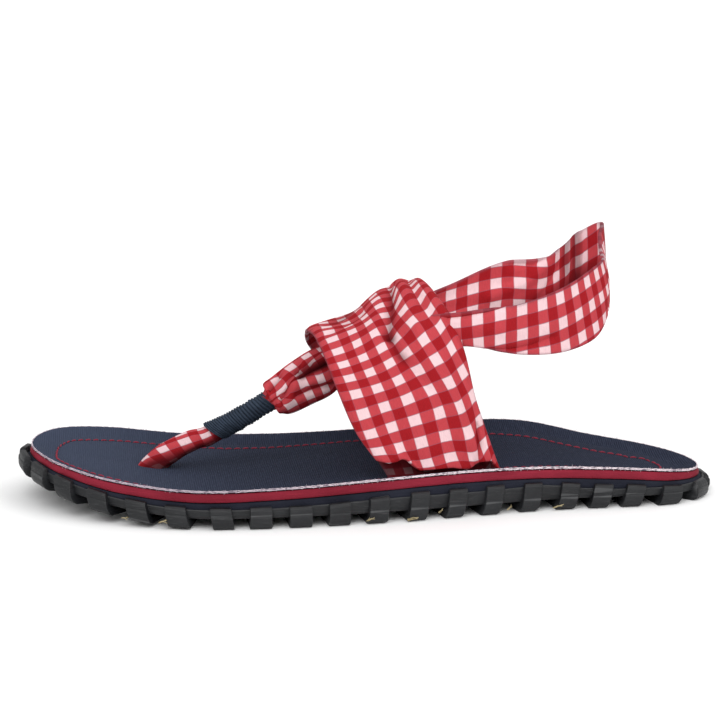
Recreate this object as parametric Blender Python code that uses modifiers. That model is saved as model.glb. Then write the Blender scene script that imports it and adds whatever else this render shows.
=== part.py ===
"""Toe post sandal for the left foot: a lugged rubber outsole, foam layers, a canvas insole and a
cloth upper of three joined straps.

Sizes in the tables are millimetres. A station is the distance back from the toe end of the insole.
X runs from toe (-) to heel (+), Y from the outer side of the foot (-) to the inner side (+), Z up.
The origin is on the ground, under the middle of the sandal.
"""

import math
from collections import namedtuple

import bmesh
import bpy
from mathutils import Vector

MM = 0.001
GAP = 0.3
CENTRE_STATION = 124.9
CENTRE_Y = 1.6

# Sole, from the ground up.
INSOLE_LENGTH = 250.0
LUG_DEPTH = 3.7
OUTSOLE_PLATE = 2.4
STRIPE_FOAM = 3.2
CANVAS = 0.9
FULL_STACK = 9.5
THINNEST_STACK = 3.6
PLATE_SHARE = 0.25
CUP_DEPTH = 2.4
CUP_WIDTH = 9.0
CUP_IN_FOAM = 0.35
SIDE_FLARE = 0.4
END_FLARE = 2.4
TOE_SPRING = 9.5
SPRING_STATION = 66.0
SPINE_TOE = 42.0
SPINE_HEEL = 224.0
STEPS_PER_ROW = 3
INSETS = (0.0, 2.5, 5.5, CUP_WIDTH, 17.0)

SoleRow = namedtuple("SoleRow", "station outer inner rim_outer rim_inner")
SOLE_ROWS = (
    SoleRow(0.0, 9.0, 9.0, 20.5, 20.5),
    SoleRow(3.0, -5.0, 22.0, 20.0, 21.0),
    SoleRow(12.0, -20.0, 35.0, 18.5, 20.3),
    SoleRow(30.0, -34.5, 44.0, 16.0, 17.9),
    SoleRow(58.0, -44.6, 48.7, 14.0, 13.8),
    SoleRow(90.0, -45.5, 47.5, 14.6, 13.2),
    SoleRow(124.0, -41.8, 38.0, 16.0, 16.4),
    SoleRow(158.0, -35.5, 32.5, 16.9, 20.2),
    SoleRow(188.0, -29.3, 33.5, 16.2, 19.8),
    SoleRow(214.0, -27.4, 31.0, 14.9, 14.6),
    SoleRow(235.0, -25.2, 22.0, 13.2, 12.0),
    SoleRow(246.0, -17.5, 10.0, 11.6, 11.0),
    SoleRow(INSOLE_LENGTH, -4.5, -4.5, 10.8, 10.8),
)

# Lugs: a row of blocks that wrap the edge, and a row of studs down the middle.
LUG_COUNT = 41
LUG_WIDTH = 8.0
LUG_PHASE = 0.63
LUG_PROFILE = (  # out from the edge, up from the ground
    (-15.0, 0.0),
    (0.9, 0.0),
    (2.6, 1.2),
    (3.2, 3.0),
    (2.8, 6.6),
    (1.6, 8.0),
    (0.4, 8.0),
    (0.4, 4.9),
    (-1.6, 4.7),
    (-15.0, 4.5),
)
LUG_SHIFTS = (  # station, and how far the outer side's lugs stand off the even spacing
    (0.0, -3.0),
    (17.0, -4.0),
    (36.0, -2.2),
    (52.0, -1.8),
    (68.0, 0.3),
    (118.0, 0.6),
    (134.0, 2.2),
    (150.0, 2.7),
    (172.0, 3.0),
    (189.0, 4.6),
    (203.0, 3.2),
    (218.0, 0.9),
    (233.0, 0.6),
    (250.0, 0.0),
)
LUG_RISE = (  # station, and how much taller a lug's cap stands there
    (0.0, 0.0),
    (105.0, 0.0),
    (121.0, 1.5),
    (137.0, 2.7),
    (172.0, 2.9),
    (190.0, 2.7),
    (203.0, 2.9),
    (213.0, 1.9),
    (220.0, 0.6),
    (229.0, -0.6),
    (250.0, -1.2),
)
CAP_FROM = 6.0
STUD_LENGTH = 11.0
STUD_WIDTH = 16.0
STUD_STATIONS = (38.0, 54.0, 70.0, 86.0, 102.0, 118.0, 134.0, 150.0, 166.0, 182.0, 198.0, 214.0)
STUD_SINK = 0.6

# Upper: instep band, toe strap and heel sling, cut from one cloth.
CLOTH = 2.0
BAND_COLUMNS = 9
BandRow = namedtuple("BandRow", "front_station front_y front_z rear_station rear_y rear_z crest")
BAND_ROWS = (
    BandRow(130.2, -35.6, 12.2, 171.5, -27.8, 12.2, 0.0),
    BandRow(126.6, -34.8, 18.0, 170.0, -29.0, 18.0, 0.0),
    BandRow(116.9, -34.0, 32.0, 165.0, -31.0, 32.0, 0.0),
    BandRow(110.5, -32.0, 47.0, 161.0, -31.5, 44.0, 0.0),
    BandRow(106.4, -27.0, 58.0, 157.2, -29.5, 60.0, 1.0),
    BandRow(104.0, -16.0, 63.5, 153.0, -21.0, 70.5, 3.0),
    BandRow(102.5, -1.0, 63.5, 149.0, -8.0, 76.0, 5.5),
    BandRow(102.5, 12.0, 60.5, 147.5, 6.0, 77.5, 5.0),
    BandRow(104.0, 21.5, 54.5, 150.5, 18.0, 74.0, 2.5),
    BandRow(110.0, 28.0, 45.5, 156.0, 27.0, 64.0, 0.5),
    BandRow(117.5, 31.0, 33.0, 162.0, 29.8, 46.0, 0.0),
    BandRow(125.0, 31.6, 20.5, 167.0, 28.6, 26.0, 0.0),
    BandRow(128.5, 31.2, 13.2, 169.5, 27.2, 16.6, 0.0),
)
CREST_AT = 0.68
CREST_SPREAD = 0.3
SLOT_SPREAD = 0.012
SLOT_END = 0.12

SLING_CLOTH = 2.2
SLING_COLUMNS = 4
SlingRow = namedtuple("SlingRow", "station y low high")
SLING_ROWS = (
    SlingRow(110.0, -2.0, 44.0, 56.0),
    SlingRow(127.0, -10.0, 52.0, 65.0),
    SlingRow(143.0, -20.0, 58.5, 71.5),
    SlingRow(158.5, -27.5, 61.5, 74.5),
    SlingRow(176.0, -31.5, 59.0, 77.3),
    SlingRow(192.0, -32.5, 59.5, 83.4),
    SlingRow(204.0, -31.0, 64.0, 90.5),
    SlingRow(209.3, -25.5, 71.0, 93.2),
    SlingRow(212.0, -11.0, 75.5, 94.0),
    SlingRow(214.4, 6.0, 78.0, 96.8),
    SlingRow(217.0, 21.0, 75.0, 99.5),
    SlingRow(209.5, 31.0, 67.0, 93.6),
    SlingRow(198.0, 33.0, 61.0, 84.3),
    SlingRow(180.0, 32.0, 59.5, 82.5),
    SlingRow(160.0, 27.5, 61.0, 75.0),
    SlingRow(144.0, 20.0, 59.0, 70.5),
    SlingRow(128.0, 10.0, 53.0, 66.0),
    SlingRow(111.0, 4.0, 45.0, 57.0),
)

ToeRow = namedtuple("ToeRow", "station y z pitch half_height half_width")
TOE_ROWS = (
    ToeRow(44.6, 0.0, 10.0, 4.0, 6.6, 3.2),
    ToeRow(47.8, 0.3, 13.2, 28.0, 6.4, 3.9),
    ToeRow(53.5, 0.7, 17.6, 50.0, 5.3, 4.1),
    ToeRow(60.5, 1.1, 21.4, 58.0, 4.4, 3.8),
    ToeRow(65.5, 1.4, 23.8, 61.0, 3.0, 3.0),
    ToeRow(76.0, 1.9, 29.3, 61.0, 2.9, 2.9),
    ToeRow(88.2, 2.4, 36.1, 60.0, 3.0, 3.0),
    ToeRow(89.6, 2.5, 37.2, 60.0, 4.9, 4.7),
    ToeRow(93.0, 2.6, 38.2, 62.0, 6.3, 5.6),
    ToeRow(100.5, 2.6, 42.1, 64.0, 8.0, 6.3),
    ToeRow(108.0, 2.2, 46.7, 68.0, 8.0, 6.4),
    ToeRow(115.0, 1.5, 51.4, 70.0, 6.0, 5.6),
)
TOE_RING = 16
BINDING_FROM = 4
BINDING_TO = 6
BINDING_WALL = 1.1

MATERIALS = {
    "rubber": ((0.030, 0.031, 0.034, 1.0), 0.62),
    "navy_foam": ((0.018, 0.023, 0.045, 1.0), 0.85),
    "red_foam": ((0.380, 0.012, 0.030, 1.0), 0.80),
    "canvas": ((0.055, 0.078, 0.125, 1.0), 0.95),
    "cloth": ((0.560, 0.060, 0.085, 1.0), 0.88),
    "thread": ((0.022, 0.040, 0.066, 1.0), 0.75),
}


def clear_scene():
    for obj in list(bpy.data.objects):
        bpy.data.objects.remove(obj)


def material(name):
    colour, roughness = MATERIALS[name]
    made = bpy.data.materials.new(name)
    made.use_nodes = True
    shader = made.node_tree.nodes["Principled BSDF"]
    shader.inputs["Base Color"].default_value = colour
    shader.inputs["Roughness"].default_value = roughness
    shader.inputs["Metallic"].default_value = 0.0
    return made


def place(station, y, z):
    """A point in the shoe's own millimetres as a point in the scene."""
    return Vector((station - CENTRE_STATION, y - CENTRE_Y, z)) * MM


def new_object(name, shape, finish):
    """Makes an object from a bmesh, with its normals outwards and its own material."""
    bmesh.ops.recalc_face_normals(shape, faces=shape.faces)
    mesh = bpy.data.meshes.new(name)
    shape.to_mesh(mesh)
    shape.free()
    mesh.materials.append(material(finish))
    obj = bpy.data.objects.new(name, mesh)
    bpy.context.scene.collection.objects.link(obj)
    return obj


def helper_collection():
    found = bpy.data.collections.get("helpers")
    if found is None:
        found = bpy.data.collections.new("helpers")
        bpy.context.scene.collection.children.link(found)
    return found


def as_helper(obj):
    """Hides a cutter or a shape that is only joined to another one."""
    bpy.context.scene.collection.objects.unlink(obj)
    helper_collection().objects.link(obj)
    obj.hide_render = True
    obj.display_type = "WIRE"
    return obj


def boolean(obj, other, operation):
    made = obj.modifiers.new(other.name, "BOOLEAN")
    made.operation = operation
    made.solver = "EXACT"
    made.object = other


def smooth(amount):
    amount = min(max(amount, 0.0), 1.0)
    return amount * amount * (3.0 - 2.0 * amount)


def blend(a, b, amount):
    return a + (b - a) * amount


def through(before, start, end, after, amount):
    """Catmull-Rom: the value between start and end, for numbers or tuples of numbers."""
    values = []
    for p, a, b, q in zip(before, start, end, after):
        values.append(
            0.5
            * (
                2 * a
                + (b - p) * amount
                + (2 * p - 5 * a + 4 * b - q) * amount**2
                + (3 * a - p - 3 * b + q) * amount**3
            )
        )
    return values


def along(rows, place_in_rows):
    """The table's values at a place between its rows, on one smooth curve."""
    last = len(rows) - 1
    index = min(int(place_in_rows), last - 1)
    before = rows[max(index - 1, 0)]
    after = rows[min(index + 2, last)]
    return through(before, rows[index], rows[index + 1], after, place_in_rows - index)


# Sole


def outline_points():
    """(station, y, rim height) down the outer side to the heel and back up the inner side."""
    outer = [(row.station, row.outer, row.rim_outer) for row in SOLE_ROWS]
    inner = [(row.station, row.inner, row.rim_inner) for row in SOLE_ROWS[-2:0:-1]]
    return outer + inner


OUTLINE = outline_points()


def edge(turn):
    """The insole's edge, where turn goes once round the table's rows and back."""
    count = len(OUTLINE)
    index = int(math.floor(turn))
    four = [OUTLINE[(index + step) % count] for step in (-1, 0, 1, 2)]
    return through(*four, turn - index)


def spine(turn):
    """The point on the middle line that an edge point moves towards, and the rim's mean height."""
    near = edge(turn)
    far = edge(len(OUTLINE) - turn)
    station = (near[0] + far[0]) / 2
    held = min(max(station, SPINE_TOE), SPINE_HEEL)
    if held != station:
        return spine_end(held)
    return (station, (near[1] + far[1]) / 2, (near[2] + far[2]) / 2)


def spine_end(station):
    """The middle line at a given station, found by halving along the rows."""
    low, high = 0.0, float(len(SOLE_ROWS) - 1)
    for _ in range(40):
        middle = (low + high) / 2
        if edge(middle)[0] < station:
            low = middle
        else:
            high = middle
    outer, inner = edge(low), edge(len(OUTLINE) - low)
    return (station, (outer[1] + inner[1]) / 2, (outer[2] + inner[2]) / 2)


def spring(station):
    """How far the sole has lifted off the ground towards the toe."""
    return TOE_SPRING * max(1.0 - station / SPRING_STATION, 0.0) ** 2


def inset(turn, distance):
    """A point moved in from the edge: its station, y, rim height, and how far it has gone in."""
    near, middle = edge(turn), spine(turn)
    reach = math.hypot(near[0] - middle[0], near[1] - middle[1])
    amount = 1.0 if distance is None else min(distance / reach, 1.0)
    station = blend(near[0], middle[0], amount)
    y = blend(near[1], middle[1], amount)
    rim = blend(near[2], middle[2], smooth(amount))
    return station, y, rim, amount * reach


def outward(turn):
    """The level direction square to the edge, away from the middle line."""
    ahead, behind, near = edge(turn + 0.02), edge(turn - 0.02), edge(turn)
    square = Vector((behind[1] - ahead[1], ahead[0] - behind[0])).normalized()
    middle = spine(turn)
    if square.dot(Vector((near[0] - middle[0], near[1] - middle[1]))) < 0:
        square.negate()
    return square


def flare(turn, drop):
    """How far the edge has spread, when drop goes from 0 at the rim to 1 at the outsole."""
    return drop * blend(SIDE_FLARE, END_FLARE, outward(turn).x ** 4)


def levels(turn, distance):
    """The heights of every layer's faces at one point of the sole, lowest first."""
    station, y, rim, gone = inset(turn, distance)
    under = LUG_DEPTH + spring(station)
    stack = rim - under
    share = (stack - THINNEST_STACK) / (FULL_STACK - THINNEST_STACK)
    cup = CUP_DEPTH * smooth(gone / CUP_WIDTH)
    plate_top = under + min(OUTSOLE_PLATE, PLATE_SHARE * stack)
    foam_top = rim - cup - CANVAS - GAP
    foam_bottom = rim - CUP_IN_FOAM * cup - CANVAS - GAP - STRIPE_FOAM * min(share, 1.0)
    return station, y, {
        "plate_bottom": under,
        "plate_top": plate_top,
        "midsole_bottom": plate_top + GAP,
        "midsole_top": foam_bottom - GAP,
        "foam_bottom": foam_bottom,
        "foam_top": foam_top,
        "canvas_bottom": foam_top + GAP,
        "canvas_top": rim - cup,
    }


DROP = {
    "plate_bottom": 1.0,
    "plate_top": 1.0,
    "midsole_bottom": 0.85,
    "midsole_top": 0.45,
    "foam_bottom": 0.4,
    "foam_top": 0.1,
    "canvas_bottom": 0.0,
    "canvas_top": 0.0,
}


def layer(name, bottom, top, finish):
    """One layer of the sole: rings that step in from the edge to the middle line, top and bottom."""
    shape = bmesh.new()
    turns = [step / STEPS_PER_ROW for step in range(len(OUTLINE) * STEPS_PER_ROW)]
    edges = {}
    for face in (bottom, top):
        rings = []
        for distance in INSETS + (None,):
            ring = []
            for turn in turns:
                station, y, heights = levels(turn, distance)
                if distance == 0.0:
                    spread = outward(turn) * flare(turn, DROP[face])
                    station, y = station + spread.x, y + spread.y
                ring.append(shape.verts.new(place(station, y, heights[face])))
            rings.append(ring)
        edges[face] = rings[0]
        for outer, inner in zip(rings, rings[1:]):
            bridge(shape, outer, inner)
    bridge(shape, edges[bottom], edges[top])
    bmesh.ops.remove_doubles(shape, verts=shape.verts, dist=0.01 * MM)
    bmesh.ops.dissolve_degenerate(shape, edges=shape.edges, dist=0.01 * MM)
    return new_object(name, shape, finish)


def bridge(shape, first, second):
    """A band of faces between two closed rings with the same number of points."""
    for index, point in enumerate(first):
        follow = (index + 1) % len(first)
        shape.faces.new((point, first[follow], second[follow], second[index]))


def edge_lengths():
    """The edge as (turn, length so far), in fine steps, for spacing the lugs evenly."""
    steps = 20 * len(OUTLINE)
    found = [(0.0, 0.0)]
    before = edge(0.0)
    for step in range(1, steps + 1):
        point = edge(step / 20)
        length = math.hypot(point[0] - before[0], point[1] - before[1])
        found.append((step / 20, found[-1][1] + length))
        before = point
    return found


def turn_at(lengths, distance):
    distance %= lengths[-1][1]
    for (turn, start), (after, end) in zip(lengths, lengths[1:]):
        if distance <= end:
            return blend(turn, after, (distance - start) / (end - start))
    return 0.0


def table_value(table, station):
    """A value between the rows of a two-column table."""
    for (before, first), (after, second) in zip(table, table[1:]):
        if station <= after:
            return blend(first, second, max(0.0, (station - before) / (after - before)))
    return table[-1][1]


def lug_shift(turn):
    """How far a lug on the outer side stands off the even spacing."""
    return table_value(LUG_SHIFTS, edge(turn)[0]) if outward(turn).y < 0.0 else 0.0


def lug_section(turn):
    """The lug's profile stood across the edge at one place."""
    near, across, spread = edge(turn), outward(turn), flare(turn, 1.0)
    rise = table_value(LUG_RISE, near[0])
    points = []
    for out, up in LUG_PROFILE:
        up += rise if up > CAP_FROM else 0.0
        station = near[0] + across.x * (out + spread)
        y = near[1] + across.y * (out + spread)
        points.append(place(station, y, up + spring(station)))
    return points


def lugs():
    """Every edge lug, each a solid between two sections."""
    shape = bmesh.new()
    lengths = edge_lengths()
    pitch = lengths[-1][1] / LUG_COUNT
    for number in range(LUG_COUNT):
        centre = (number + LUG_PHASE) * pitch
        centre += lug_shift(turn_at(lengths, centre))
        sides = []
        for offset in (-LUG_WIDTH / 2, LUG_WIDTH / 2):
            section = lug_section(turn_at(lengths, centre + offset))
            sides.append([shape.verts.new(point) for point in section])
        bridge(shape, *sides)
        shape.faces.new(sides[0])
        shape.faces.new(reversed(sides[1]))
    return new_object("lugs", shape, "rubber")


def studs():
    """The blocks down the middle of the tread, their tops sunk into the plate."""
    shape = bmesh.new()
    for station in STUD_STATIONS:
        middle = spine_end(station)
        made = bmesh.ops.create_cube(shape, size=1.0)["verts"]
        top = LUG_DEPTH + STUD_SINK
        for vert in made:
            at = station + vert.co.x * STUD_LENGTH
            y = middle[1] + vert.co.y * STUD_WIDTH
            vert.co = place(at, y, (vert.co.z + 0.5) * top + spring(at))
    return new_object("studs", shape, "rubber")


def outsole():
    plate = layer("outsole", "plate_bottom", "plate_top", "rubber")
    boolean(plate, as_helper(lugs()), "UNION")
    boolean(plate, as_helper(studs()), "UNION")
    return plate


# Upper


def grid_shape(rows_of_points):
    """A sheet of faces through rows of points."""
    shape = bmesh.new()
    rows = [[shape.verts.new(point) for point in row] for row in rows_of_points]
    for row, after in zip(rows, rows[1:]):
        for index in range(len(row) - 1):
            shape.faces.new((row[index], row[index + 1], after[index + 1], after[index]))
    return shape


def thicken(obj, wall):
    made = obj.modifiers.new("wall", "SOLIDIFY")
    made.thickness = wall * MM
    made.offset = 0.0
    made.use_even_offset = True


def band_sheet(first_row, last_row, steps, spread=0.0):
    """The middle of the band's cloth between two rows, spread past its front and rear edges."""
    rows = []
    for step in range(steps + 1):
        row = BandRow(*along(BAND_ROWS, blend(first_row, last_row, step / steps)))
        points = []
        for column in range(BAND_COLUMNS):
            across = blend(-spread, 1.0 + spread, column / (BAND_COLUMNS - 1))
            rise = row.crest * math.exp(-(((across - CREST_AT) / CREST_SPREAD) ** 2))
            points.append(
                place(
                    blend(row.front_station, row.rear_station, across),
                    blend(row.front_y, row.rear_y, across),
                    blend(row.front_z, row.rear_z, across) + rise,
                )
            )
        rows.append(points)
    return grid_shape(rows)


def sling_sheet():
    steps = 3 * (len(SLING_ROWS) - 1)
    rows = []
    for step in range(steps + 1):
        row = SlingRow(*along(SLING_ROWS, step / 3))
        rows.append(
            [
                place(row.station, row.y, blend(row.low, row.high, column / (SLING_COLUMNS - 1)))
                for column in range(SLING_COLUMNS)
            ]
        )
    return grid_shape(rows)


def toe_ring(place_in_rows, grow):
    """One cross-section of the toe strap, square to its run, made larger by grow."""
    row = ToeRow(*along(TOE_ROWS, place_in_rows))
    pitch = math.radians(row.pitch)
    upright = Vector((-math.cos(pitch), 0.0, math.sin(pitch)))
    points = []
    for index in range(TOE_RING):
        angle = math.tau * index / TOE_RING
        high = math.sin(angle) * (row.half_height + grow)
        wide = math.cos(angle) * (row.half_width + grow)
        offset = upright * high + Vector((0.0, wide, 0.0))
        points.append(place(row.station, row.y, row.z) + offset * MM)
    return points


def toe_tube(name, first_row, last_row, steps, grow, finish):
    """A closed tube along part of the toe strap."""
    shape = bmesh.new()
    rings = []
    for step in range(steps + 1):
        section = toe_ring(blend(first_row, last_row, step / steps), grow)
        rings.append([shape.verts.new(point) for point in section])
    for first, second in zip(rings, rings[1:]):
        bridge(shape, first, second)
    shape.faces.new(rings[0])
    shape.faces.new(reversed(rings[-1]))
    return new_object(name, shape, finish)


def upper():
    """The instep band, with the toe strap and the heel sling joined under its crown."""
    band = new_object("upper", band_sheet(0, len(BAND_ROWS) - 1, 3 * (len(BAND_ROWS) - 1)), "cloth")
    thicken(band, CLOTH)
    sling = as_helper(new_object("heel_sling", sling_sheet(), "cloth"))
    thicken(sling, SLING_CLOTH)
    last = len(TOE_ROWS) - 1
    toe = as_helper(toe_tube("toe_strap", 0, last, 2 * last, 0.0, "cloth"))
    boolean(band, sling, "UNION")
    boolean(band, toe, "UNION")
    return band


def toe_binding():
    """The thread wound round the toe strap, as a sleeve that clears it."""
    steps = 8
    outer = toe_tube("toe_binding", BINDING_FROM, BINDING_TO, steps, GAP + BINDING_WALL, "thread")
    bore = toe_tube("binding_bore", BINDING_FROM - 0.4, BINDING_TO + 0.4, steps, GAP, "thread")
    boolean(outer, as_helper(bore), "DIFFERENCE")
    return outer


def cut_slots(layers):
    """Cuts each layer where the band's two ends and the toe strap go down through it."""
    last = len(BAND_ROWS) - 1
    ends = (("outer_slot", -SLOT_END, 1.0), ("inner_slot", last - 1.0, last + SLOT_END))
    cutters = []
    for name, first, end in ends:
        cutter = new_object(name, band_sheet(first, end, 3, SLOT_SPREAD), "cloth")
        thicken(cutter, CLOTH + 2 * GAP)
        cutters.append(as_helper(cutter))
    cutters.append(as_helper(toe_tube("toe_slot", -SLOT_END, 3, 6, GAP, "cloth")))
    for obj in layers:
        for cutter in cutters:
            boolean(obj, cutter, "DIFFERENCE")


def build():
    clear_scene()
    outsole()
    layer("midsole", "midsole_bottom", "midsole_top", "navy_foam")
    foam = layer("footbed_foam", "foam_bottom", "foam_top", "red_foam")
    canvas = layer("insole_canvas", "canvas_bottom", "canvas_top", "canvas")
    cut_slots([foam, canvas])
    upper()
    toe_binding()


build()
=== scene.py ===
# %% [markdown]
# # A toe post sandal, finished in Blender
#
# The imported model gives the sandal's frame: where each part lies and how big it is. This lesson
# dresses that frame: a lugged rubber outsole, foam layers, a canvas insole with a frayed edge,
# and gingham straps with their folds. Each step first says what the piece is, how it could be
# made and why one way was chosen, and then makes it in short cells.

# %% Load the frame
import math
import random
from collections import namedtuple

import bmesh
import bpy
import numpy as np
from mathutils import Matrix, Vector, noise


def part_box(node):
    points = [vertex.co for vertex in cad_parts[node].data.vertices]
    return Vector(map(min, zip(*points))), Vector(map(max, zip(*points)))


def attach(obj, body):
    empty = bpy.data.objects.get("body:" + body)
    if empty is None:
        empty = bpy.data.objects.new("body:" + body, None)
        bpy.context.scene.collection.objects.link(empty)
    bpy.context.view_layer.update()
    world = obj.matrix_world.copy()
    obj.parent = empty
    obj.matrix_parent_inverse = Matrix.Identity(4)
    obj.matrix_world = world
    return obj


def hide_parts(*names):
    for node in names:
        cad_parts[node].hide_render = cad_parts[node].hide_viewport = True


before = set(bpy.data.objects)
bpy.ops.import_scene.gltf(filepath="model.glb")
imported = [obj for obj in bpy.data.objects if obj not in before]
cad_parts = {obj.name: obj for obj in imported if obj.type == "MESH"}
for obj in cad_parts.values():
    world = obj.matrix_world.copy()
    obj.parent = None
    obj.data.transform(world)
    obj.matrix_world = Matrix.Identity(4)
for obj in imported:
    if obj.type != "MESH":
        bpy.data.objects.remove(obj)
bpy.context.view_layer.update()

# %% [markdown]
# ## Camera
#
# The sandal is seen from its outer side, a little above and from slightly in front, through a
# long lens. A long lens keeps the sole's thickness even from toe to heel. The camera aims at a
# point over the middle of the sole, so that nothing has to be shifted.

# %% Camera
MM = 0.001
CAMERA_PLACE = Vector((-108.6, -970.4, 248.6)) * MM
CAMERA_AIM = Vector((-2.7, -1.6, 51.6)) * MM
CAMERA_ROLL = math.radians(0.2)
LENS = 133.05

camera = bpy.data.objects.new("camera", bpy.data.cameras.new("camera"))
bpy.context.scene.collection.objects.link(camera)
facing = (CAMERA_AIM - CAMERA_PLACE).to_track_quat("-Z", "Y").to_matrix().to_4x4()
camera.matrix_world = Matrix.Translation(CAMERA_PLACE) @ facing @ Matrix.Rotation(CAMERA_ROLL, 4, "Z")
camera.data.lens = LENS
camera.data.clip_start = 0.05
camera.data.clip_end = 30.0
bpy.context.scene.camera = camera
print("camera stands", round((CAMERA_AIM - CAMERA_PLACE).length, 3), "m away")

# %% [markdown]
# ## Light and floor
#
# A product table is a white sweep in a bright room. A bright world does most of the work,
# because it fills every fold. Two wide soft lamps, far off like high windows, give the folds a
# lit side and a shaded side. Far lamps light the whole sweep evenly, where near ones would leave
# its far end grey. The plain colour transform keeps the red as strong as the dye is.

# %% Light
WORLD_STRENGTH = 0.74
bpy.context.scene.view_settings.view_transform = "Standard"

world = bpy.data.worlds.new("studio")
world.use_nodes = True
world.node_tree.nodes["Background"].inputs["Color"].default_value = (1.0, 1.0, 1.0, 1.0)
world.node_tree.nodes["Background"].inputs["Strength"].default_value = WORLD_STRENGTH
bpy.context.scene.world = world

Lamp = namedtuple("Lamp", "name place spread power")
LAMPS = (
    Lamp("key", (-0.35, -1.0, 1.05), 45.0, 1.35),
    Lamp("side", (1.0, -0.8, 1.1), 50.0, 0.75),
    Lamp("back", (0.5, 0.5, 1.4), 70.0, 0.25),
)
for lamp in LAMPS:
    data = bpy.data.lights.new(lamp.name, "SUN")
    data.angle = math.radians(lamp.spread)
    data.energy = lamp.power
    made = bpy.data.objects.new(lamp.name, data)
    made.location = lamp.place
    made.rotation_mode = "QUATERNION"
    made.rotation_quaternion = (-Vector(lamp.place)).to_track_quat("-Z", "Y")
    bpy.context.scene.collection.objects.link(made)

# %% [markdown]
# ## Materials as short recipes
#
# Every finish is a node tree on a Principled shader. A small helper adds one node at a time and
# joins what it is given, so that a finish reads from top to bottom like a recipe. A tone is
# built up in stains: where a noise is high enough, the next colour is laid over the last.


# %% Recipe helper
class Recipe:
    """Adds nodes to one material. A value that is a socket is joined, and a number is set."""

    def __init__(self, name, roughness=0.8, gloss=0.2):
        self.material = bpy.data.materials.new(name)
        self.material.use_nodes = True
        self.tree = self.material.node_tree
        self.shader = self.tree.nodes["Principled BSDF"]
        self.shader.inputs["Roughness"].default_value = roughness
        self.shader.inputs["Specular IOR Level"].default_value = gloss
        self.place = self.tree.nodes.new("ShaderNodeTexCoord").outputs["Object"]

    def put(self, socket, value):
        if isinstance(value, bpy.types.NodeSocket):
            self.tree.links.new(value, socket)
        elif socket.type == "RGBA" and len(value) == 3:
            socket.default_value = (*value, 1.0)
        else:
            socket.default_value = value

    def add(self, kind, inputs, **settings):
        node = self.tree.nodes.new("ShaderNode" + kind)
        for name, value in settings.items():
            setattr(node, name, value)
        for name, value in inputs.items():
            self.put(node.inputs[name], value)
        return node

    def math(self, operation, *values):
        node = self.add("Math", {}, operation=operation)
        for socket, value in zip(node.inputs, values):
            self.put(socket, value)
        return node.outputs[0]

    def stretch(self, vector, scale, turn=(0.0, 0.0, 0.0)):
        return self.add("Mapping", {"Vector": vector, "Scale": scale, "Rotation": turn}).outputs[0]

    def noise(self, vector, scale, detail=3.0, roughness=0.5):
        inputs = {"Vector": vector, "Scale": scale, "Detail": detail, "Roughness": roughness}
        return self.add("TexNoise", inputs).outputs["Fac"]

    def ramp(self, value, low, high, start=0.0, end=1.0):
        """The value taken from low..high to start..end, with soft ends."""
        inputs = {"Value": value, "From Min": low, "From Max": high, "To Min": start, "To Max": end}
        node = self.add("MapRange", inputs, interpolation_type="SMOOTHSTEP")
        return node.outputs["Result"]

    def mix(self, amount, first, second):
        node = self.add("Mix", {}, data_type="RGBA")
        for socket, value in zip((node.inputs[0], node.inputs[6], node.inputs[7]), (amount, first, second)):
            self.put(socket, value)
        return node.outputs[2]

    def stain(self, tone, field, low, high, colour, amount=1.0):
        """A tone that goes over to another colour where a field passes from low to high."""
        return self.mix(self.ramp(field, low, high, 0.0, amount), tone, colour)

    def bump(self, height, distance):
        inputs = {"Height": height, "Distance": distance, "Strength": 1.0}
        self.put(self.shader.inputs["Normal"], self.add("Bump", inputs).outputs[0])

    def colour(self, value):
        self.put(self.shader.inputs["Base Color"], value)

    def rough(self, value):
        self.put(self.shader.inputs["Roughness"], value)


# %% Floor
FLOOR_SIZE = 14.0
floor_shape = bmesh.new()
bmesh.ops.create_grid(floor_shape, x_segments=1, y_segments=1, size=FLOOR_SIZE / 2)
floor_mesh = bpy.data.meshes.new("floor")
floor_shape.to_mesh(floor_mesh)
floor_shape.free()
floor = bpy.data.objects.new("floor", floor_mesh)
bpy.context.scene.collection.objects.link(floor)
paper = Recipe("white_paper", roughness=0.9)
paper.colour(paper.mix(paper.noise(paper.place, 3.0), (0.90, 0.90, 0.90), (0.92, 0.92, 0.92)))
floor_mesh.materials.append(paper.material)

# %% [markdown]
# ## Measuring in the shoe's own sizes
#
# A shoemaker marks a pattern by stations: so many millimetres back from the toe. The tables here
# do the same, and `place` turns a station, a distance across and a height into a point of the
# frame. The insole's own box says where station zero is.

# %% Stations
TABLE_MIDDLE = 1.6
canvas_low, canvas_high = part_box("insole_canvas")
toe_end = canvas_low.x
print("insole length, mm:", round((canvas_high.x - toe_end) / MM, 1))


def place(station, y, z):
    return Vector((toe_end + station * MM, (y - TABLE_MIDDLE) * MM, z * MM))


def soft_step(amount):
    amount = min(max(amount, 0.0), 1.0)
    return amount * amount * (3.0 - 2.0 * amount)


def between(a, b, amount):
    return a + (b - a) * amount


def hump(distance, width):
    return math.exp(-((distance / width) ** 2))


def read_pairs(pairs, position):
    """A table of (position, value) pairs, read in straight lines between its pairs."""
    return float(np.interp(position, *zip(*pairs)))


def through(before, start, end, after, amount):
    """One smooth curve through rows of numbers, read between start and end."""
    found = []
    for p, a, b, q in zip(before, start, end, after):
        square = (2 * p - 5 * a + 4 * b - q) * amount**2
        cube = (3 * a - p - 3 * b + q) * amount**3
        found.append(0.5 * (2 * a + (b - p) * amount + square + cube))
    return found


def read_table(rows, position):
    """The row of values at a position between a table's rows, on a smooth curve."""
    last = len(rows) - 1
    index = min(max(int(position), 0), last - 1)
    four = (rows[max(index - 1, 0)], rows[index], rows[index + 1], rows[min(index + 2, last)])
    return type(rows[0])(*through(*four, position - index))


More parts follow.
